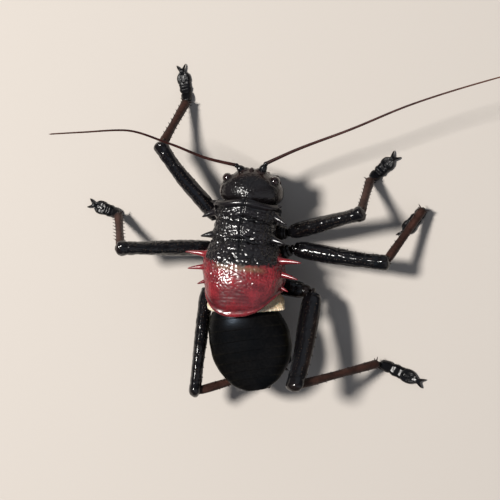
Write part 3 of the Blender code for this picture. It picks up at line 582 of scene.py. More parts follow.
noisy = clouds(grid, (2.2, 2.2, 2.2), 3)
y = station + 0.45 * noisy
fore = ease(y, -3.6, -2.2)  # the black, coarse fore part
front_edge = (P_FRONT - station) - 1.5 * np.abs(wide) ** 2.2
warp = grid + 0.30 * np.stack([noise(grid, 1.4, 31), noise(grid, 1.4, 32), noise(grid, 1.4, 33)], -1)
arc = np.concatenate([np.zeros((1, grid.shape[1])), np.cumsum(np.linalg.norm(np.diff(grid, axis=0), axis=-1), 0)])
arc = arc - arc[len(arc) // 2] + 40  # how far round the shield from its middle line
sheet = np.stack([arc + 0.25 * noise(grid, 1.2, 33), station + 40 + 0.25 * noise(grid, 1.2, 34), 0 * arc], -1)
calm = 1 - ease(np.abs(wide), 0.50, 0.80)  # the lumps die down towards the edges
tidy = ease(along * 22.5, 0.9, 1.8)  # the front rim is smooth
coarse = domes(sheet, (0.95, 0.80, 1), 11, 0.80, True) * tidy
small = domes(sheet, (0.46, 0.40, 1), 23, 0.62, True) * calm * tidy
off_middle = ease(np.abs(wide), 0.10, 0.38)
folds = 0.5 + 0.5 * noise(warp, (1.9, 0.62, 1.9), 41)  # ridges across the fore part
runs = 1 - np.abs(noise(warp, (0.75, 2.6, 0.9), 43))  # ridges along the hind part
relief = fore * ((0.22 + 0.20 * off_middle) * coarse * (0.35 + 0.65 * calm) + (0.035 + 0.03 * off_middle) * small + 0.15 * (folds - 0.5) * tidy)
for middle, depth, width in ((6.0, 0.34, 0.52), (2.0, 0.38, 0.52)):
    groove = middle - 0.9 * np.abs(wide) ** 2 + 0.42 * noise(grid, 1.3, 51) + 0.15 * noise(grid, 0.6, 52)
    relief -= depth * np.clip(0.75 + 0.6 * noise(grid, 1.6, 53), 0.2, 1.2) * hump(station, groove, width) * (1 - 0.5 * ease(np.abs(wide), 0.6, 0.95))
relief -= 0.22 * fore * hump(wide, 0, 0.018) * ease(station, -2.0, 0.5)  # middle line
wrinkled = (1 - fore) * ease(station, -10.2, -5.2)
relief += wrinkled * (0.07 * (runs - 0.55) + (0.05 + 0.06 * calm + 0.05 * off_middle * calm) * domes(sheet, (0.50, 0.62, 1), 61, 0.80, True))
behind = (1 - fore) * ease(-station, 6.5, 10.0)
relief += behind * (0.035 * clouds(grid, (1.2, 0.9, 1.2), 71) + 0.006 * np.sin(station * 9 + 2 * noise(grid, 2.0, 72)))
to_rear = station - (P_REAR + P_REAR_CURVE(wide))
relief += (0.08 + 0.03 * noise(grid, 0.7, 75)) * hump(to_rear, 0.20, 0.24) - 0.07 * hump(to_rear, 0.95, 0.45)
relief += 0.22 * hump(along * 22.5, 0.45, 0.38) * fore - 0.16 * hump(along * 22.5, 1.35, 0.4) * fore  # front collar
relief += 0.16 * hump(np.abs(wide), 1.0, 0.035) - 0.10 * hump(np.abs(wide), 0.90, 0.03)
for side in (-1, 1):
    for given in THORNS:
        base, tip = thorn_ends(side, given)
        foot = base + unit(tip - base) * 0.7
        relief += 0.30 * given[4] * np.exp(-((np.linalg.norm(grid - foot, axis=-1) / (given[4] * 1.9)) ** 2))
relief *= outer_side
# black fore part, red hind part; the red creeps forward at the sides, and a tan band lies between them at the middle
border = -3.0 + 2.5 * ease(np.abs(wide), 0.42, 0.72) + 0.5 * noise(grid, 0.9, 81) + 0.35 * noise(grid, 0.35, 82)
red = 1 - ease(station, border - 0.45, border + 0.35)
red = np.maximum(red, 0.75 * ease(np.abs(wide), 0.60, 0.80) * (1 - ease(station, -1.2, 1.6)))
dapple = domes(grid, 0.7, 85, 0.5) * ease(np.abs(wide), 0.45, 0.6) * ease(station, -6.2, -3.6)
red = np.clip(red - 0.8 * dapple, 0, 1)
tan = hump(station, -3.65 + 0.25 * noise(grid, 1.5, 91), 0.50) * (1 - ease(np.abs(wide), 0.16, 0.42)) * 0.8
tan = np.maximum(tan, 0.55 * hump(np.abs(wide), 0.97, 0.05) * ease(station, -1.0, 1.5) * (1 - ease(station, 5.0, 6.5)))
skin = Skin()
rise = np.clip(0.42 + relief / 0.42, 0, 1)
skin.patch(grid, relief=relief, zone=red, trim=tan, rise=rise)
for side in (-1, 1):
    for k, given in enumerate(THORNS):
        base, tip = thorn_ends(side, given)
        thorn(skin, base, tip, given[4] * (1.25 if k in (1, 2) else 1.0), (0, 0.10 * given[1] / 4, 0), 28, 40, 0.75, zone=1.0 if k > 2 else 0.0,
              trim=(lambda t: 0.0 * t), grain=0.02, seed=7 + k)
for lateral, where in ((-1.75, -1.85), (1.6, -2.2)):
    middle = at(where, lateral, P_TOP(where) - 0.25)
    t = np.linspace(0.02, 0.98, 20)
    ring = 0.85 * np.sin(np.pi * t / 2 + 0.0)
    path = middle + np.array([0, 0, 1])[None] * (0.85 * np.cos(np.pi * t / 2))[:, None]
    knob, _ = rod_grid(path[::-1], ring[::-1], ring[::-1], (0, 1, 0), 30)
    skin.patch(knob, tips=(None, middle + np.array([0, 0, 0.86])), relief=0.03 * clouds(knob, 0.4, 97), rise=0.7)
skin.made("pronotum_skin", "shield_chitin", ["pronotum"], LOOKS["shield"])

# ---------------------------------------------------------------- head

HEAD = np.array([0.62, 11.25, 0.0])
TURN = math.radians(4.7)
H_HALF = curve_through(
    ((16.85, 0.7), (16.6, 1.75), (15.95, 3.4), (14.9, 5.1), (13.6, 5.95), (12.0, 6.35), (10.0, 6.2), (8.0, 5.5), (6.4, 4.6))
)
H_FRONT = curve_through(
    ((16.85, 0.6), (16.6, 1.35), (15.95, 2.6), (14.9, 3.85), (13.6, 4.6), (12.0, 4.95), (10.0, 4.9), (8.0, 4.5), (6.4, 3.9))
)
H_REAR = curve_through(
    ((16.85, -0.85), (16.6, -1.2), (15.95, -1.55), (14.9, -2.1), (13.6, -2.7), (12.0, -3.1), (10.0, -3.1), (8.0, -2.9), (6.4, -2.2))
)


def head_at(lateral, fore, z):
    lateral, fore, z = np.broadcast_arrays(np.asarray(lateral, float), np.asarray(fore, float), np.asarray(z, float))
    c, s = math.cos(TURN), math.sin(TURN)
    return np.stack([HEAD[0] + lateral * c + fore * s, HEAD[1] - lateral * s + fore * c, z], -1)


def head_local(points):
    c, s = math.cos(TURN), math.sin(TURN)
    dx, dy = points[..., 0] - HEAD[0], points[..., 1] - HEAD[1]
    return dx * c - dy * s, dx * s + dy * c, points[..., 2]


EYES = {side: head_at(side * 4.78, 2.7, 13.4) for side in (-1, 1)}
ANTENNAE = {
    "left": ((-0.60, 15.4, 13.0), (-1.80, 16.55, 13.95), (-7.2, 18.0, 16.4), (-14.2, 20.8, 20.0), (-22.2, 23.2, 25.0),
             (-29.2, 22.6, 29.5), (-34.6, 22.0, 34.0)),
    "right": ((2.75, 15.35, 13.0), (3.8, 16.9, 13.9), (10.0, 19.6, 15.0), (20.9, 23.4, 16.4), (33.0, 28.0, 18.0),
              (45.0, 31.4, 20.4), (53.2, 33.2, 24.0)),
}

z_fine = np.linspace(16.85, 6.4, 900)
walk = np.concatenate([[0], np.cumsum(np.hypot(np.diff(z_fine), np.diff(H_HALF(z_fine))))])
z_rows = np.interp(np.linspace(0, walk[-1], 215), walk, z_fine)
angle = 2 * np.pi * (np.arange(300) + 0.5) / 300
s, c = np.sin(angle)[None], np.cos(angle)[None]
power = np.where(c > 0, 0.88, 1.0)
zr = z_rows[:, None]
lateral = H_HALF(zr) * np.sign(s) * np.abs(s) ** power
reach = np.where(c > 0, H_FRONT(zr), -H_REAR(zr)) * np.sign(c) * np.abs(c) ** power
pinched = lateral * (1 - 0.19 * ease(reach, 1.1, 4.0))  # narrower in front, so that the eyes stand out
grid = head_at(pinched, reach, zr + 0 * s)
cap = [head_at(lateral[0] * q, reach[0] * q, np.full(300, 16.85 + 0.13 * (1 - q * q))) for q in np.linspace(0.06, 0.95, 16)]
grid = np.concatenate([np.array(cap), grid])
lat, fwd, up = head_local(grid)
warp = grid + 0.25 * np.stack([noise(grid, 0.9, 131), noise(grid, 0.9, 132), noise(grid, 0.9, 133)], -1)
wrinkle = 1 - np.abs(noise(warp, (0.85, 0.38, 0.6), 141))
relief = 0.045 * (wrinkle - 0.6) * ease(up, 11.5, 15.5) + 0.04 * domes(warp, 0.46, 143, 0.6) + 0.035 * domes(warp, 0.30, 144, 0.6) * ease(up, 13.5, 15.5)
relief += 0.03 * clouds(grid, 1.4, 145)
relief -= 0.05 * hump(lat, 0, 0.07) * ease(up, 14.0, 15.0)  # middle seam of the crown
relief -= 0.05 * hump(np.abs(lat) - 0.9 * (16.9 - up), 0.25, 0.09) * ease(up, 14.2, 15.2) * ease(fwd, -0.5, 1.5)
for side in (-1, 1):
    far = np.linalg.norm(grid - EYES[side], axis=-1)
    relief += 0.16 * hump(far, 1.20, 0.15) - 0.45 * (1 - ease(far, 0.80, 1.07))
    # groove below the eye, and the low ridge in front of it
    relief -= 0.10 * hump(side * lat - 4.6 + 0.12 * (11.4 - up), 0.0, 0.16) * ease(up, 7.2, 8.4) * (1 - ease(up, 10.6, 11.6)) * (fwd > 0)
    relief += 0.10 * hump(side * lat - 3.3 - 0.05 * (11.4 - up), 0.0, 0.28) * ease(up, 8.0, 9.5) * (1 - ease(up, 11.8, 12.8)) * (fwd > 0)
    socket = np.array(ANTENNAE["left" if side < 0 else "right"][0])
    far = np.linalg.norm(grid - socket, axis=-1)
    relief += 0.26 * hump(far, 1.02, 0.20) - 0.55 * (1 - ease(far, 0.66, 0.92))
relief -= 0.12 * hump(up, 7.75 + 0.12 * np.abs(lat), 0.10) * (fwd > 1.2)  # seam above the clypeus
relief += 0.10 * (1 - ease(up, 7.3, 7.7)) * (1 - ease(np.abs(lat), 2.3, 2.8)) * (fwd > 1.2)
relief -= 0.05 * domes(grid, 0.6, 151, 0.25) * (1 - ease(up, 12.0, 14.5)) * (fwd > 0)  # pits over the face
relief *= ease(np.arange(len(grid)), 0, 3)[:, None]
brown = 0.85 * ease(np.abs(lat), 4.9, 6.1) * (1 - ease(up, 13.2, 15.0))
brown = np.maximum(brown, 0.55 * ease(fwd, 2.2, 3.6) * ease(up, 11.5, 13.6) * (1 - ease(up, 15.0, 15.9)))
brown = np.maximum(brown, 0.9 * (1 - ease(up, 7.0, 7.8)) * (fwd > 1.2))
brown = brown * np.clip(0.75 + 0.5 * noise(grid, 0.8, 155), 0, 1)
skin = Skin()
skin.patch(grid, tips=(head_at(0, 0, 16.99), head_at(0, 0.8, 6.3)), relief=relief, zone=brown, rise=np.clip(0.5 + relief / 0.25, 0, 1))
path, size = smooth_line(
    [head_at(0, 3.0, 14.2), head_at(0, 4.0, 13.95), head_at(0, 4.6, 13.7), head_at(0, 4.92, 13.45)],
    {"a": (0.85, 0.62, 0.5, 0.3), "b": (0.85, 0.62, 0.5, 0.3)}, 30,
)
peg, _ = rod_grid(path, size["a"], size["b"], (0, 0, 1), 28)
skin.patch(peg, tips=(None, head_at(0, 5.1, 13.35)), relief=0.03 * clouds(peg, 0.3, 157), zone=0.35, rise=0.6)
skin.made("head_skin", "black_chitin", ["head"], LOOKS["head"])

for side, word in ((-1, "left"), (1, "right")):
    skin = Skin()
    lat_angle = np.linspace(0.03, np.pi - 0.03, 60)
    turn = 2 * np.pi * np.arange(84) / 84
    axis = unit(np.array([side * 0.9, 0.35, 0.25]))
    one = unit(np.cross(axis, (0, 0, 1)))
    two = np.cross(one, axis)
    r = 1.0
    globe = EYES[side] + r * (
        axis * np.cos(lat_angle)[:, None, None]
        + one * (np.sin(lat_angle)[:, None] * np.cos(turn))[..., None] * 1.0
        + two * (np.sin(lat_angle)[:, None] * np.sin(turn))[..., None] * 1.06
    )
    first_d, second_d, _ = pebbles(globe, 0.085, 171, 0.5)
    facets = 0.0015 * np.clip(second_d - first_d, 0, 0.4)
    skin.patch(globe, tips=(EYES[side] + axis * r, EYES[side] - axis * r), relief=facets, rise=0.6)
    skin.made("eye_skin_" + word, "eye_gloss", ["eye_" + word], LOOKS["eye"])

# ---------------------------------------------------------------- feelers: stout base, bead, ringed whip

for side, word in ((-1, "left"), (1, "right")):
    points = [np.array(p) for p in ANTENNAE[word]]
    base, knuckle = points[0], points[1]
    way = unit(knuckle - base)
    path, size = smooth_line(
        [base - way * 0.45, base + way * 0.1, base + way * 0.8, base + way * 1.4, base + way * 1.8],
        {"r": (0.55, 0.76, 0.80, 0.68, 0.44)}, 50,
    )
    stem, _ = rod_grid(path, size["r"], size["r"], (0, 0, 1), 44)
    skin = Skin()
    dints = 0.035 * clouds(stem, (0.5, 0.5, 0.5), 201) - 0.05 * domes(stem, 0.45, 203, 0.35)
    skin.patch(stem, tips=(None, base + way * 1.92), relief=dints, rise=0.6)
    path, size = smooth_line(
        [base + way * 1.78, base + way * 1.95, base + way * 2.25, base + way * 2.5, base + way * 2.62],
        {"r": (0.22, 0.44, 0.47, 0.38, 0.22)}, 30,
    )
    bead, _ = rod_grid(path, size["r"], size["r"], (0, 0, 1), 32)
    skin.patch(bead, tips=(base + way * 1.74, base + way * 2.66), relief=0.012 * clouds(bead, 0.3, 205), rise=0.6)
    skin.made("scape_skin_" + word, "black_chitin", ["scape_" + word], LOOKS["black"])

    rings = 132
    full, _ = smooth_line([base + way * 2.3, *points[2:]], {}, rings * 8 + 1)
    share = np.linspace(0, 1, rings * 8 + 1)
    step = (share * rings) % 1.0
    thick = (0.37 - 0.24 * share**0.62) * (1 + 0.10 * (step - 0.5) + 0.10 * hump(step, 0.94, 0.10))
    thick = thick * (1 - 0.75 * ease(share, 0.985, 1.0))
    whole, _ = rod_grid(full, thick, thick, (0, 0, 1), 14)
    dark = np.clip(1 - share / 0.05, 0, 1)[:, None] + 0.5 * hump(step, 0.02, 0.12)[:, None] * np.ones((1, 14))
    pale = 0.8 * ease(share, 0.55, 1.0)[:, None] * np.ones((1, 14))
    cuts = (0, int(len(full) * 13 / 40), int(len(full) * 27 / 40), len(full) - 1)
    for k in range(3):
        a, b = cuts[k], cuts[k + 1] + 1
        skin = Skin()
        rise = 0.35 + 0.5 * (1 - hump(step[a:b], 0.0, 0.13) - hump(step[a:b], 1.0, 0.13))
        skin.patch(whole[a:b], tips=(full[a] if k == 0 else None, full[-1] if k == 2 else None), zone=np.clip(dark[a:b], 0, 1),
                   trim=pale[a:b], rise=rise[:, None])
        skin.made(f"feeler_skin_{word}_{k + 1}", "feeler_chitin", [f"feeler_{word}_{k + 1}"], LOOKS["feeler"])

# ---------------------------------------------------------------- mouthparts


def bar(nodes, name, points, a, b, up, slot, finish, around=40, rows=60, relief=None, zone=0.0, tips=True, power=1.0, extra=None, trim=0.0):
    path, size = smooth_line(points, {"a": a, "b": b}, rows)
    end = rounded(np.ones(rows), (5, 5))
    grid, parts = rod_grid(path, size["a"] * end, size["b"] * end, up, around, power)
    t = np.linspace(0, 1, rows)[:, None]
    if relief is not None:
        relief = relief(grid, t, parts[0][None])
    z = zone(grid, t, parts[0][None]) if callable(zone) else zone
    skin = Skin()
    skin.patch(grid, tips=(path[0], path[-1]), relief=relief, zone=z, trim=trim, rise=None if relief is not None else 0.6)
    if extra is not None:
        extra(skin, path, parts, size)
    return skin.made(name, slot, nodes, LOOKS[finish])


bar(["labrum"], "labrum_skin",
    [head_at(0, 4.15, 6.35), head_at(0, 4.3, 5.2), head_at(0, 4.3, 4.0), head_at(0, 4.0, 2.9), head_at(0, 3.7, 2.3)],
    (2.45, 2.35, 1.95, 1.5, 0.6), (0.42, 0.46, 0.42, 0.35, 0.2), (0, 1, 0), "brown_chitin", "brown", 60, 60,
    lambda g, t, a: 0.05 * clouds(g, 0.7, 211) - 0.07 * hump(t, 0.16, 0.04) - 0.04 * domes(g, 0.4, 212, 0.3), 0.35)
for side, word in ((-1, "left"), (1, "right")):
    def teeth(skin, path, parts, size, side=side):
        for k, t in enumerate((0.86, 0.93, 0.985)):
            p = path[int(t * 59)]
            inward = head_at(-side * 0.5, 0.05, -0.28) - head_at(0, 0, 0)
            thorn(skin, p, p + inward * (1.0 - 0.12 * k), 0.24, (0, 0, 0), 16, 14, 0.4, zone=0.2)

    bar(["mandible_" + word], "mandible_skin_" + word,
        [head_at(side * 2.9, 1.9, 6.4), head_at(side * 2.75, 2.0, 5.0), head_at(side * 1.9, 2.3, 3.4), head_at(side * 0.75, 2.5, 2.4)],
        (1.15, 1.15, 0.85, 0.3), (1.35, 1.2, 0.9, 0.4), (0, 1, 0), "black_chitin", "black", 44, 60,
        lambda g, t, a: 0.04 * clouds(g, (0.5, 0.5, 1.2), 215), 0.0, extra=teeth)

    def joints_at(cuts, deep):
        return lambda g, t, a: sum(-deep * hump(t, c, 0.018) for c in cuts) + 0.02 * np.sin(a * 0) + 0.012 * clouds(g, 0.4, 217)

    bar(["maxillary_palp_" + word], "maxillary_palp_skin_" + word,
        [head_at(side * 2.6, -1.0, 6.3), head_at(side * 3.1, -0.3, 4.7), head_at(side * 3.9, 1.0, 3.6), head_at(side * 4.1, 2.2, 3.1),
         head_at(side * 3.7, 3.2, 2.6), head_at(side * 3.1, 4.1, 2.05)],
        (0.34, 0.40, 0.34, 0.36, 0.36, 0.46), (0.34, 0.40, 0.34, 0.36, 0.36, 0.42), (0, 0, 1), "brown_chitin", "brown", 30, 110,
        joints_at((0.12, 0.24, 0.44, 0.70), 0.13), lambda g, t, a: 0.4 + 0.5 * ease(t, 0.75, 1.0) + 0 * a)
    bar(["labial_palp_" + word], "labial_palp_skin_" + word,
        [head_at(side * 1.3, -1.1, 3.7), head_at(side * 1.75, -0.5, 2.5), head_at(side * 2.15, 0.7, 1.8), head_at(side * 2.15, 2.0, 1.5)],
        (0.28, 0.34, 0.30, 0.40), (0.28, 0.34, 0.30, 0.36), (0, 0, 1), "brown_chitin", "brown", 28, 80,
        joints_at((0.22, 0.55), 0.11), lambda g, t, a: 0.4 + 0.5 * ease(t, 0.75, 1.0) + 0 * a)
bar(["labium"], "labium_skin",
    [head_at(0, -0.6, 6.4), head_at(0, -0.5, 5.2), head_at(0, -0.4, 4.2), head_at(0, -0.2, 3.3)],
    (1.75, 1.9, 1.7, 1.0), (0.9, 0.95, 0.8, 0.4), (0, 1, 0), "brown_chitin", "brown", 48, 60,
    lambda g, t, a: 0.04 * clouds(g, 0.6, 221) - 0.12 * hump(head_local(g)[0], 0, 0.10) * ease(t, 0.35, 0.5) - 0.08 * hump(t, 0.4, 0.03), 0.5)
bar(["neck"], "neck_skin", [at(8.6, 0, 11.6), at(8.0, 0, 11.6), at(7.3, 0, 11.6), at(6.7, 0, 11.6)],
    (3.3, 3.6, 3.6, 3.3), (3.2, 3.4, 3.4, 3.2), (0, 0, 1), "soft_membrane", "membrane", 90, 50,
    lambda g, t, a: 0.10 * np.sin(t * 34 + 1.2 * noise(g, 1.4, 223)) + 0.05 * clouds(g, 0.6, 224))

# ---------------------------------------------------------------- thorax, seen beneath the shield

T_HALF = curve_through(((7.2, 4.6), (5.6, 4.55), (2.6, 4.95), (-2.0, 5.8), (-6.0, 6.0), (-10.8, 5.8)))
T_TOP = curve_through(((7.2, 15.0), (5.6, 14.8), (1.0, 15.1), (-3.0, 15.7), (-10.8, 15.5)))
THORAX_FLOOR = curve_through(((7.2, 6.6), (4.5, 5.4), (0.0, 4.9), (-6.0, 4.7), (-10.8, 5.4)))
for name, first, last in (("prothorax", 7.15, 1.85), ("mesothorax", 1.85, -3.55), ("metathorax", -3.55, -10.85)):
    rows = 90
    y = np.linspace(first, last, rows)
    t = np.linspace(0, 1, rows)
    tuck = 0.55 * (hump(t, 0, 0.06) + hump(t, 1, 0.06))
    angle = 2 * np.pi * np.arange(150) / 150
    level = 10.4 if last > -5 else 10.8
    lateral, height = arch((T_HALF(y) - tuck)[:, None], (T_TOP(y) - level - tuck)[:, None], (level - THORAX_FLOOR(y) - tuck)[:, None], angle[None], 0.9)
    grid = at(y[:, None], lateral, level + height)
    low = ease(np.abs(angle), 1.7, 2.1) * ease(2 * np.pi - angle, 1.7, 2.1)  # the breast plate beneath
    side_groove = hump(np.abs(np.sin(angle / 2)), 0.80, 0.03)[None] * 0.18
    slant = hump(((grid[..., 1] - first) + 0.35 * (grid[..., 2] - 9)) % 2.7 - 1.35, 0, 0.14) * 0.14 * ease(np.abs(lateral), 3.0, 4.5)
    relief = 0.06 * clouds(grid, 0.9, 231) - side_groove - slant + 0.05 * domes(grid, 0.5, 233, 0.6)
    relief = relief - 0.12 * hump(lateral, 0, 0.18) * (height < 0)
    skin = Skin()
    skin.patch(grid, tips=(at(first + 0.05, 0, 10.4), at(last - 0.05, 0, 10.4)), relief=relief, zone=0.45 * low[None])
    if name == "prothorax":
        for side in (-1, 1):
            thorn(skin, at(4.6, side * 0.9, 5.5), at(4.9, side * 1.15, 4.3), 0.3, zone=0.1)
    skin.made(name + "_skin", "black_chitin", [name], LOOKS["thorax"])

# ---------------------------------------------------------------- abdomen

A_HALF = curve_through(
    ((-11.1, 6.1), (-12.2, 6.65), (-13.5, 7.25), (-15.5, 7.85), (-17.5, 8.15), (-20.0, 8.1), (-22.5, 7.4), (-24.7, 6.05),
     (-26.2, 4.75), (-27.0, 3.6), (-27.6, 2.3))
)
A_LEVEL = curve_through(((-11.1, 11.0), (-17, 11.1), (-22, 11.5), (-27.6, 12.5)))
A_UP = curve_through(((-11.1, 4.55), (-12.6, 4.85), (-14.2, 4.9), (-18, 4.3), (-22, 3.2), (-25, 2.15), (-27.6, 1.1)))
A_DOWN = curve_through(((-11.1, 5.4), (-14, 5.95), (-18, 5.65), (-22, 4.2), (-25, 2.1), (-27.6, 0.85)))
SEGMENT_EDGES = np.array((-13.4, -15.6, -17.8, -19.9, -21.9, -23.7, -25.3, -26.6))
ENDS = np.concatenate([[-11.05], SEGMENT_EDGES, [-27.75]])

y = np.concatenate([np.linspace(-11.05, -27.6, 300), -27.6 - 0.28 * np.sin(np.linspace(0.15, 1.5, 12))])
fade = np.concatenate([np.ones(300), np.cos(np.linspace(0.15, 1.5, 12))])
angle = 2 * np.pi * np.arange(320) / 320
signed = np.where(angle > np.pi, angle - 2 * np.pi, angle)
over = np.abs(signed)  # 0 on the back, pi beneath
sweep = 0.35 * np.cos(signed) - 0.35  # the edges run forward down the sides
swing = y[:, None] - sweep[None] * 0.8
index = np.clip(np.searchsorted(-ENDS, -swing, side="right") - 1, 0, len(ENDS) - 2)
inside = (ENDS[index] - swing) / (ENDS[index] - ENDS[index + 1])
swell = 0.03 * (np.clip(inside, 0, 1) - 0.45) - 0.025 * hump(inside, 1.03, 0.04)
lateral, height = arch(
    (A_HALF(y) * fade)[:, None] + 0 * swing, (A_UP(y) * fade)[:, None] + 0 * swing, (A_DOWN(y) * fade)[:, None] + 0 * swing, angle[None], 0.92
)
grid = at(y[:, None] + 0 * swing, lateral, A_LEVEL(y)[:, None] + height)
back = 1 - ease(over, 1.62, 1.78)
belly = ease(over, 2.15, 2.3)
side_skin = (1 - back) * (1 - belly)
relief = swell * (back + 0.7 * belly)[None]
relief = relief - side_skin[None] * (0.22 + 0.10 * np.sin(swing * 7 + 2 * noise(grid, 1.2, 241)) + 0.08 * clouds(grid, 0.7, 242))
relief = relief + 0.014 * clouds(grid, (2.6, 1.4, 2.6), 243) * back[None] + 0.006 * clouds(grid, (0.9, 0.5, 0.9), 244)
relief = relief - 0.018 * domes(grid, 0.55, 245, 0.22) * back[None]
relief = relief * ease(np.arange(len(y))[::-1], 0, 10)[:, None]
# olive zone: real olive on the segments' hind margins, the side skin and the belly, and a painted olive sheen down the
# flanks (the first term)
olive_tint_and_flank_sheen = 0.75 * ease(over, 0.95, 1.45)[None] * (0.6 + 0.5 * noise(grid, 2.5, 247)) + 0.35 * hump(inside, 0.93, 0.06) * ease(over, 0.3, 1.2)[None]
olive_tint_and_flank_sheen = np.clip(olive_tint_and_flank_sheen + 0.5 * side_skin[None] + 0.45 * belly[None], 0, 1)
pale = np.clip(0.5 * hump(over, 1.60, 0.06)[None] + 0.6 * side_skin[None], 0, 1)
skin = Skin()
skin.patch(grid, tips=(at(-11.0, 0, 11.2), at(-27.9, 0, 13.1)), relief=relief, zone=olive_tint_and_flank_sheen, trim=pale, rise=np.clip(0.55 + relief / 0.35, 0, 1))
skin.made("abdomen_skin", "abdomen_chitin", ["abdomen"], LOOKS["abdomen"])

bar(["epiproct"], "epiproct_skin", [at(-26.2, 0, 10.1), at(-27.1, 0, 9.95), at(-27.75, 0, 9.7)], (1.55, 1.3, 0.4), (0.42, 0.42, 0.25), (0, 0, 1),
    "abdomen_chitin", "abdomen", 44, 50, lambda g, t, a: 0.02 * clouds(g, 0.5, 251) - 0.05 * hump(np.cos(a), 0, 0.12) * (np.sin(a) > 0), 0.4)
bar(["subgenital_plate"], "subgenital_plate_skin", [at(-25.0, 0, 8.9), at(-26.5, 0, 8.6), at(-27.6, 0, 8.8)], (1.6, 1.45, 0.7), (0.5, 0.5, 0.28), (0, 0, 1),
    "abdomen_chitin", "abdomen", 44, 50, lambda g, t, a: 0.02 * clouds(g, 0.5, 253) - 0.10 * hump(np.cos(a), 0, 0.10) * ease(t, 0.6, 0.9), 0.55)
for side, word in ((-1, "left"), (1, "right")):
    bar(["cercus_" + word], "cercus_skin_" + word, [at(-26.0, side * 2.0, 9.75), at(-27.0, side * 2.3, 9.65), at(-27.95, side * 1.95, 9.7)],
        (0.44, 0.38, 0.2), (0.34, 0.32, 0.2), (0, 0, 1), "brown_chitin", "brown", 28, 44, lambda g, t, a: 0.02 * clouds(g, 0.3, 255), 0.5)

# ---------------------------------------------------------------- short wings

W_HALF = curve_through(((-5.5, 6.5), (-8.0, 6.6), (-9.6, 7.1), (-11.0, 7.55), (-12.3, 7.95)))
W_SPREAD = curve_through(((-5.5, 0.0), (-7.5, 0.1), (-9.6, 0.75), (-12.3, 0.55)))
W_TOP = curve_through(((-5.5, 16.45), (-9.0, 16.35), (-12.3, 16.3)))


def wing_point(y, degrees, inward):
    level = 11.6
    half = W_HALF(y) + np.where(degrees > 0, W_SPREAD(y) * np.sin(np.radians(degrees)) ** 2, 0.0)
    lateral, height = arch(half - inward, W_TOP(y) + WING - inward - level, 6.0, np.radians(degrees), 0.92)
    flare = 2.2 * ease(degrees, 45, 95) * ease(-np.asarray(y, float), 9.4, 11.6)  # the right wing's hind corner stands out
    return at(y, lateral, level + height + flare)


for side, word in ((-1, "left"), (1, "right")):
    along, inward, push = shell_loop(120, 40)
    degrees = np.linspace(3, 97, 170)[:, None]
    rear = -12.2 + 0.35 * (degrees / 97.0) ** 4 if side > 0 else -11.9 + 2.3 * (degrees / 97.0) ** 3
    front = -6.2 - 1.6 * (degrees / 100.0) ** 2
    y = front + (rear - front) * along[None] + 0.2 * push[None]
    grid = wing_point(y, side * degrees, WING * inward[None])
    upper = (inward[None] < 0.5) * np.ones_like(grid[..., 0])
    mid = wing_point(y, side * degrees, WING - WING * inward[None])
    down = at(-9.0, side * 0.0, -0.2) - at(-9.0, 0, 0)
    first = closing(grid[0], (grid[0] + mid[0]) / 2, at(-9, -side * 0.2, 0) - at(-9, 0, 0))[::-1]
    last = closing(grid[-1], (grid[-1] + mid[-1]) / 2, down)
    flat_deg = np.pad(degrees[:, 0], len(first), mode="edge")[:, None]
    flat_along = along[None] * np.ones((len(flat_deg), 1))
    upper = np.pad(upper, ((len(first), len(first)), (0, 0)), mode="edge")
    grid = np.concatenate([first, grid, last])
    main = np.zeros_like(flat_along)
    for root, slope, strength in ((18, 12, 0.8), (34, 18, 1.0), (50, 22, 1.0), (66, 20, 0.9), (80, 14, 0.8), (91, 5, 1.0)):
        main = np.maximum(main, strength * hump(flat_deg, root + slope * (flat_along - 0.4), 1.1))
    gap, second, _ = pebbles(np.stack([flat_deg / 9.0 + 0 * flat_along, flat_along * 7.5, 0 * flat_along], -1), 1.0, 261 + side, 0.7)
    net = 1 - ease(second - gap, 0.03, 0.16)
    veins = np.clip(main + 0.55 * net, 0, 1)
    relief = (0.075 * veins + 0.015 * clouds(grid, 0.8, 263)) * upper
    margin = np.maximum(ease(flat_along, 0.90, 0.97), ease(flat_deg, 90, 94)) * np.ones_like(flat_along)
    skin = Skin()
    skin.patch(grid, relief=relief, zone=np.clip(margin + 0.5 * veins, 0, 1), trim=np.clip(0.65 * (1 - ease(flat_along, 0.35, 0.75)), 0, 1),
               rise=np.clip(0.55 + 0.4 * veins, 0, 1))
    skin.made("tegmen_skin_" + word, "wing_cream", ["tegmen_" + word], LOOKS["cream"])

# ---------------------------------------------------------------- legs

LEGS = {
    "fore_left": ((-7.0, 6.3, 7.2), (-17.9, 21.1, 11.4), (-14.7, 30.4, 2.35), (-16.2, 38.4, 0), 1.44, 1.50, (0, 0, 1), (-3.4, 4.3, 6.9)),
    "fore_right": ((7.6, 3.5, 7.2), (22.6, 7.1, 13.0), (23.3, 14.1, 2.35), (28.7, 19.5, 0), 1.38, 1.50, (0, 0, 1), (3.8, 3.6, 6.9)),
    "mid_left": ((-7.6, 0.5, 7.2), (-25.9, 0.35, 13.5), (-29.0, 7.2, 2.35), (-36.0, 9.9, 0), 1.34, 1.55, (0, 0, 1), (-4.0, -0.5, 6.6)),
    "mid_right": ((8.4, 0.3, 7.2), (27.2, -2.5, 9.5), (34.0, 8.2, 2.35), (29.0, 2.4, 0), 1.55, 1.42, (0, 0, 1), (3.6, -1.4, 6.6)),
    "hind_left": ((-9.1, -7.4, 8.0), (-10.8, -28.5, 12.0), (6.1, -23.4, 2.35), (3.3, -14.8, 0), 1.22, 1.90, (0, 0, 1), (-4.6, -6.6, 6.8)),
    "hind_right": ((12.5, -8.5, 8.0), (9.9, -26.7, 17.4), (24.9, -22.9, 2.35), (34.1, -27.1, 0), 1.30, 2.15, (1.0, 0.15, 0.2), (4.6, -7.0, 6.8)),
}
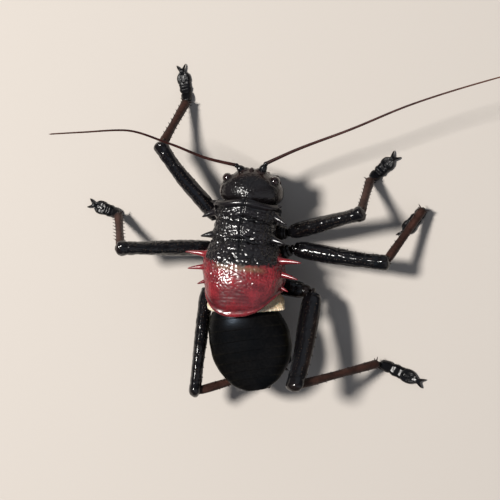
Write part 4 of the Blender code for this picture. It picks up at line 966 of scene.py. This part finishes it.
THIGH = curve_through(((0, 0.78), (0.04, 0.98), (0.15, 1.10), (0.35, 1.09), (0.60, 0.98), (0.75, 0.90), (0.88, 0.99), (0.95, 0.98), (1.0, 0.62)))
THIGH_DEEP = curve_through(((0, 0.62), (0.04, 0.84), (0.12, 0.97), (0.30, 1.0), (0.6, 0.90), (0.86, 0.84), (0.95, 0.80), (1.0, 0.5)))
SHIN = curve_through(((0, 0.62), (0.03, 0.86), (0.12, 1.0), (0.5, 0.86), (0.9, 0.98), (0.97, 1.0), (1.0, 0.8)))
SHIN_HALF = {"fore": 0.90, "mid": 0.88, "hind": 0.88}
FOOT_HALF = curve_through(((0, 0.80), (0.08, 1.02), (0.20, 1.20), (0.30, 1.13), (0.38, 1.28), (0.47, 1.20), (0.57, 1.32), (0.70, 1.42), (0.80, 1.32), (0.90, 0.80), (0.95, 0.58), (1.0, 0.42)))
FOOT_TOP = curve_through(((0, 1.35), (0.08, 1.55), (0.24, 1.30), (0.30, 1.08), (0.38, 1.22), (0.47, 0.98), (0.55, 1.10), (0.70, 0.95), (0.80, 1.05), (0.92, 1.25), (1.0, 1.1)))
FOOT_SOLE = curve_through(((0, 0.0), (0.82, 0.0), (0.90, 0.25), (1.0, 0.45)))

HEEL_RISE = {"mid_right": 0.0, "hind_left": 0.0}  # the heel stands up to the shin's end, except where the foot turns aside or back
BOW = {"fore_left": (-0.40, -0.30, 0.0), "mid_right": (0.0, -0.25, 0.0)}

for number, (leg, given) in enumerate(LEGS.items()):
    hip, knee, ankle, toe, half, deep, up, socket = (np.asarray(v, float) for v in given)
    pair, word = leg.split("_")
    seed = 300 + 20 * number
    along = unit(knee - hip)
    span = hip - socket
    reach = unit(span)

    # coxa, with a ridge before and behind, and the small trochanter as a separate bead at its end
    wide = np.array((1.15, 1.5, 1.45, 1.05, 0.72)) * (1.12 if pair == "hind" else 1.0)
    shares = [socket + span * t for t in (0.0, 0.25, 0.6, 0.86)] + [hip - reach * 0.42]

    def spur(skin, path, parts, size, pair=pair, reach=reach):
        middle = path[int(len(path) * 0.45)]
        if pair == "fore":
            thorn(skin, middle + np.array([0, 0.9, 0.5]), middle + np.array([0, 0.9, 0.5]) * 2.1 + reach * 0.4, 0.38, zone=0.1)

    bar(["coxa_" + leg], "coxa_skin_" + leg, shares, wide, wide, (0, 0, 1), "black_chitin", "black", 64, 70,
        lambda g, t, a, seed=seed: 0.07 * clouds(g, 0.9, seed) - 0.16 * hump(t, 0.80, 0.03) + 0.10 * hump(np.cos(a), 0.9, 0.15)
        - 0.05 * domes(g, 0.5, seed + 1, 0.4), lambda g, t, a, seed=seed: np.clip(0.35 + 0.6 * noise(g, 1.6, seed + 2) + 0.3 * ease(t, 0.7, 0.9), 0, 1),
        extra=spur)

    # thigh
    rows, around = 190, 64
    t = np.linspace(0, 1, rows)
    bow = unit(up) * 0.5 + np.array(BOW.get(leg, (0, 0, 0)))
    path = hip + along * (0.2 + (np.linalg.norm(knee - hip) + 0.75) * t)[:, None] + bow * np.sin(np.pi * t**1.5)[:, None]
    profile = THIGH_DEEP(t) if pair == "hind" else THIGH(t)
    down = unit(ankle - knee)
    end = rounded(np.ones(rows), (3, 6))
    grid, (angle, forward, side_way, top_way) = rod_grid(path, half * THIGH(t) * end, deep * profile * end, up, around)
    tt = t[:, None]
    n = facing(grid, True)
    below = np.clip((n * down).sum(-1), 0, 1)  # the side the shin leaves from
    flank = np.abs((n * unit(np.cross(along, down))).sum(-1))
    lobes = hump(tt, 0.935, 0.045) * ease(flank, 0.55, 0.95)
    relief = 0.022 * clouds(grid, (0.9, 0.9, 0.9), seed + 3) + 0.014 * domes(grid, 0.42, seed + 4, 0.5) * ease(tt, 0.05, 0.2) + (0.05 if leg == "hind_right" else 0.12) * domes(grid, 1.25, seed + 14, 0.75)
    if leg == "mid_left":
        relief = relief + 0.11 * domes(grid, 0.8, seed + 15, 0.8) * ease(tt, 0.05, 0.15)
    relief = relief + 0.16 * lobes - 0.55 * below * ease(tt, 0.90, 0.975) * (1 - ease(flank, 0.5, 0.85))
    relief = relief - 0.08 * hump(tt, 0.875, 0.014) - 0.10 * hump(tt, 0.035, 0.012)
    relief = relief - 0.10 * below * hump(flank, 0.0, 0.22) * ease(tt, 0.35, 0.55) * (1 - ease(tt, 0.86, 0.92))  # channel beneath
    relief = relief + 0.05 * hump(flank, 0.86, 0.06) * ease(tt, 0.1, 0.2) * (1 - ease(tt, 0.84, 0.9))
    brown = np.clip(0.35 * hump(tt, 1.0, 0.05) + 0.18 * ease(below, 0.6, 0.95) + 0.08 * noise(grid, 2.0, seed + 5), 0, 1)
    # painted light: the lighter brown stripe down this thigh's outer face stands in for the light shown on that side
    if leg == "hind_right":  # a brown stripe along the outer face
        brown = np.maximum(brown, 0.8 * hump((n * unit(up)).sum(-1), 0.80, 0.25) * ease(tt, 0.15, 0.35) * (1 - ease(tt, 0.7, 0.95)))
    skin = Skin()
    skin.patch(grid, tips=(path[0] - along * 0.03, path[-1] + along * 0.05), relief=relief, zone=brown, rise=np.clip(0.55 + relief / 0.22, 0, 1))
    rng = np.random.default_rng(seed)
    upward = unit(np.array([0, 0, 1.0]) - along * along[2])
    sideways = np.cross(along, upward)
    ring_half = np.sqrt(half * deep)
    for tilt, count, size in ((0.35, 24, 0.13), (-0.35, 24, 0.13), (0.95, 18, 0.11), (-0.95, 18, 0.11)):
        for k in range(count):
            where = 0.12 + 0.74 * (k + 0.5 + 0.5 * (rng.random() - 0.5)) / count
            way = unit(upward * math.cos(tilt) + sideways * math.sin(tilt))
            i = int(where * (rows - 1))
            row = grid[i] + n[i] * relief[i][:, None]
            j = int(np.argmax(((row - path[i]) * way).sum(1)))
            root = row[j] - n[i, j] * 0.04
            big = size * (0.7 + 0.6 * rng.random())
            thorn(skin, root, root + n[i, j] * big * 1.0 + along * big * 0.5, big, around=8, rows=5, flare=0.4, zone=0.0)
    for sign in (-1, 1):  # a few thorns under the thigh, and one at each knee lobe
        for k in range(5):
            where = 0.45 + 0.09 * k
            i = int(where * (rows - 1))
            way = unit(down - along * np.dot(down, along) + sign * 0.55 * np.cross(along, down))
            j = int(np.argmax(((grid[i] - path[i]) * way).sum(1)))
            root = grid[i, j] - n[i, j] * 0.05
            thorn(skin, root, root + way * 0.28 + along * 0.15, 0.15, around=10, rows=8, flare=0.5, zone=0.1)
        lobe = path[int(0.965 * (rows - 1))] + np.cross(along, down) / np.linalg.norm(np.cross(along, down)) * sign * half * 0.62 + down * 0.2
        thorn(skin, lobe, lobe + down * 0.75 + along * 0.35 + sign * unit(np.cross(along, down)) * 0.12, 0.26, around=14, rows=12, flare=0.5, zone=0.3)
    # the ring at the hip end
    bead = hip + reach * np.linspace(-0.55, 0.45, 26)[:, None]
    wide_bead = 0.84 * np.sqrt(np.clip(1 - np.linspace(-0.96, 0.96, 26) ** 2, 0.05, 1)) * (1.12 if pair == "hind" else 1.0)
    ring, _ = rod_grid(bead, wide_bead, wide_bead, (0, 0, 1), 36)
    skin.patch(ring, tips=(bead[0], bead[-1]), relief=0.03 * clouds(ring, 0.5, seed + 6), zone=0.4, rise=0.55)
    skin.made("femur_skin_" + leg, "black_chitin", ["femur_" + leg], LOOKS["black"])

    # shin
    rows, around = 170, 48
    t = np.linspace(0, 1, rows)
    tt = t[:, None]
    size = SHIN_HALF[pair]
    start = knee - along * 0.15
    path = start + (ankle - start) * t[:, None]
    lean = unit(np.array([0, 0, 1.0]) - down * down[2]) if abs(down[2]) < 0.95 else np.array([0, 1.0, 0])
    end = rounded(np.ones(rows), (5, 4))
    widths = size * SHIN(t) * end
    grid, (angle, forward, side_way, top_way) = rod_grid(path, widths, widths, lean, around, 0.85)
    n = facing(grid, True)
    relief = 0.022 * clouds(grid, (0.6, 0.6, 0.6), seed + 7) + 0.03 * domes(grid, 0.34, seed + 8, 0.5)
    relief = relief + 0.02 * np.cos(angle * 4)[None] * ease(tt, 0.08, 0.2)
    relief = relief - 0.07 * hump(tt, 0.045, 0.012)
    if pair == "fore":  # the ear: a shallow oval on either side below the knee
        for sign in (-1, 1):
            across = (grid - path[:, None]) @ unit(np.cross(down, lean))
            oval = np.sqrt(((tt - 0.125) / 0.045) ** 2 + ((((grid - path[:, None]) @ lean)) / 0.42) ** 2)
            relief = relief - np.where(across * sign > 0, 0.16 * (1 - ease(oval, 0.55, 0.9)) - 0.07 * hump(oval, 1.05, 0.16), 0)
    brown = np.clip(0.25 + 0.5 * noise(grid, 1.8, seed + 9) + 0.25 * hump(tt, 0.03, 0.05), 0, 1)
    skin = Skin()
    skin.patch(grid, tips=(path[0], path[-1]), relief=relief, zone=brown, trim=0.55 * ease(tt, 0.9, 0.98) + 0 * brown,
               rise=np.clip(0.55 + relief / 0.16, 0, 1))
    across = unit(np.cross(down, lean))
    for sign in (-1, 1):
        for k, where in enumerate(np.linspace(0.20, 0.90, 8)):
            for high, long in ((0.75, 0.95 if pair != "fore" else 0.75), (-0.8, 0.70)):
                shift_t = where + (0.03 if high < 0 else 0.0) + 0.012 * sign
                centre = start + (ankle - start) * min(shift_t, 0.95)
                way = unit(across * sign * 0.75 + lean * high + down * 0.45)
                i = int(min(shift_t, 0.95) * (rows - 1))
                thorn(skin, centre + way * widths[i] * 0.72, centre + way * (size + long * 0.72), 0.13, down * 0.05, 12, 12, 0.7,
                      zone=0.1, trim=lambda t: 0.3 + 0.7 * ease(t, 0.3, 1.0))
        for high, long in ((0.30, 0.90), (-0.55, 0.80)):
            centre = start + (ankle - start) * 0.965
            way = unit(across * sign + down * 0.55 + lean * high)
            thorn(skin, centre + way * size * 0.5, centre + way * (size + long * 0.8), 0.19, down * 0.06, 14, 16, 0.6, zone=0.1,
                  trim=lambda t: 0.3 + 0.7 * ease(t, 0.3, 1.0))
    skin.made("tibia_skin_" + leg, "brown_chitin", ["tibia_" + leg], LOOKS["brown"])

    # foot: two short joints, the lobed one, and the slender last with two claws; soles flat on the floor
    heel = np.array([ankle[0], ankle[1], 0.0]) + unit(np.array([down[0], down[1], 0])) * 0.15
    length = np.linalg.norm(toe - heel)
    fore = unit(toe - heel)
    beside = np.array([fore[1], -fore[0], 0.0])
    skin = Skin()
    theta = 2 * np.pi * (np.arange(52) + 0.5) / 52
    for first, last, dome, lobe in (
        (0.0, 0.31, 0.20, 0), (0.25, 0.60, 0.22, 0), (0.40, 0.93, 0.42, -1), (0.40, 0.93, 0.42, 1), (0.58, 1.0, 0.06, 0),
    ):
        rows = 46
        t = np.linspace(first, last, rows)
        w, top, sole = FOOT_HALF(t), FOOT_TOP(t) + HEEL_RISE.get(leg, 0.6) * (1 - ease(t, 0.02, 0.28)), FOOT_SOLE(t)
        if first > 0.55:
            w = np.where(t < 0.93, 0.48, w)
            top, sole = np.where(t < 0.80, 1.04, top), np.maximum(sole, 0.42 * (1 - ease(t, 0.84, 0.96)))
        share = np.linspace(0, 1, rows)
        close = np.sqrt(np.clip(1 - np.clip(1 - share / dome, 0, 1) ** 2, 0.03, 1)) * np.sqrt(np.clip(1 - np.clip(1 - (1 - share) / dome, 0, 1) ** 2, 0.03, 1))
        high = np.clip(0.5 + 0.60 * np.sin(theta), 0, 1)[None]
        c = np.sign(np.cos(theta)) * np.abs(np.cos(theta)) ** 0.8
        sideways = (w * close * (0.52 if lobe else 1.0))[:, None] * c[None] * (1 - (0.5 if lobe else 0.22) * np.clip(high - 0.4, 0, 1))
        sideways = sideways + (lobe * 0.50 * w * ease(t, 0.40, 0.62))[:, None]
        mid_z = (top * 0.45 + sole * 0.55)[:, None]
        z = mid_z + ((sole[:, None] + (top - sole)[:, None] * high) - mid_z) * close[:, None] ** 0.7
        ring = (heel + fore * ((length - 0.9) * t)[:, None])[:, None] + beside * sideways[..., None] + np.array([0, 0, 1.0]) * z[..., None]
        upper = np.clip((high - 0.35) / 0.65, 0, 1) + 0 * sideways
        relief = (0.03 * clouds(ring, 0.5, seed + 10) + 0.03 * domes(ring, 0.3, seed + 11, 0.5)) * upper
        skin.patch(ring, tips=(ring[0].mean(0), ring[-1].mean(0)), relief=relief, zone=np.clip(1 - high * 2.2, 0, 1) * 0.9 + 0 * relief,
                   rise=np.clip(0.5 + relief / 0.12, 0.1, 1))
        if first < 0.55 and lobe < 1:  # pads
            pad_t = np.linspace(first + 0.05, last - 0.03, 16)
            size_t = 0.55 * FOOT_HALF(pad_t) * np.sin(np.linspace(0.25, np.pi - 0.25, 16)) ** 0.5
            line = heel + fore * ((length - 0.9) * pad_t)[:, None] + np.array([0, 0, 0.14])
            pad_grid, _ = rod_grid(line, size_t, 0.13 * np.ones(16), (0, 0, 1), 20)
            skin.patch(pad_grid, tips=(line[0], line[-1]), zone=1.0, rise=0.5)
    # ankle: a short dark neck that joins foot and shin
    share = np.linspace(0, 1, 14)[:, None]
    line = (heel + fore * 0.42 + np.array([0, 0, 1.10])) * (1 - share) + (ankle - down * 0.15) * share
    neck_grid, _ = rod_grid(line, 0.50 - 0.05 * np.sin(np.pi * share[:, 0]), 0.50 - 0.05 * np.sin(np.pi * share[:, 0]), tuple(fore), 28)
    skin.patch(neck_grid, tips=(line[0], line[-1]), zone=0.5, rise=0.5)
    for turn in (-1, 1):
        root = heel + fore * (length - 1.45) + np.array([0, 0, 0.80]) + beside * turn * 0.16
        point = heel + fore * (length - 0.03) + beside * turn * 0.95 + np.array([0, 0, 0.22])
        thorn(skin, root, point, 0.32, (fore[0] * 0.1 + beside[0] * turn * 0.12, fore[1] * 0.1 + beside[1] * turn * 0.12, 0.26), 20, 34, 0.4,
              zone=0.2, trim=lambda t: 0.4 * ease(t, 0.5, 1.0))
    skin.made("tarsus_skin_" + leg, "black_chitin", ["tarsus_" + leg], LOOKS["foot"])

# ---------------------------------------------------------------- floor, light, camera

floor_mesh = bpy.data.meshes.new("floor")
floor_mesh.from_pydata([(-2, -2, 0), (2, -2, 0), (2, 2, 0), (-2, 2, 0)], [], [(0, 1, 2, 3)])
floor = bpy.data.objects.new("floor", floor_mesh)
bpy.context.scene.collection.objects.link(floor)
stone = bpy.data.materials.new("floor")
stone.use_nodes = True
stone.node_tree.nodes["Principled BSDF"].inputs["Base Color"].default_value = (0.49, 0.45, 0.41, 1)
stone.node_tree.nodes["Principled BSDF"].inputs["Roughness"].default_value = 0.85
floor_mesh.materials.append(stone)

world = bpy.data.worlds.new("studio")
bpy.context.scene.world = world
world.use_nodes = True
world.node_tree.nodes["Background"].inputs[0].default_value = (0.80, 0.86, 1.0, 1)
world.node_tree.nodes["Background"].inputs[1].default_value = 0.11


def lamp(name, where, size, power, colour=(1, 1, 1), target=(-0.0083, -0.0047, 0.01)):
    data = bpy.data.lights.new(name, "AREA")
    data.shape = "DISK"
    data.size = size
    data.energy = power
    data.color = colour
    made = bpy.data.objects.new(name, data)
    made.location = where
    made.rotation_euler = (Vector(target) - Vector(where)).to_track_quat("-Z", "Y").to_euler()
    bpy.context.scene.collection.objects.link(made)
    return made


lamp("key", (-0.315, 0.085, 0.65), 0.13, 8.0, (1.0, 0.97, 0.93))
lamp("sky", (0.10, 0.60, 0.45), 0.80, 0.40, (0.80, 0.89, 1.0))
lamp("back", (0.06, -0.28, 0.66), 0.40, 0.12, (0.62, 0.78, 1.0))
lamp("fill", (0.50, -0.30, 0.45), 0.90, 0.70, (0.95, 0.96, 1.0))

camera_data = bpy.data.cameras.new("camera")
camera_data.sensor_fit = "HORIZONTAL"
camera_data.angle = 2 * math.atan(50 / 350)
camera_data.clip_start, camera_data.clip_end = 0.01, 10
camera = bpy.data.objects.new("camera", camera_data)
camera.location = (-0.0084707 + 0.350 * math.sin(math.radians(10)), -0.0045303, 0.010 + 0.350 * math.cos(math.radians(10)))
camera.rotation_euler = (0, math.radians(10), 0)
bpy.context.scene.collection.objects.link(camera)
bpy.context.scene.camera = camera
bpy.context.scene.view_settings.view_transform = "Standard"

bpy.context.view_layer.update()
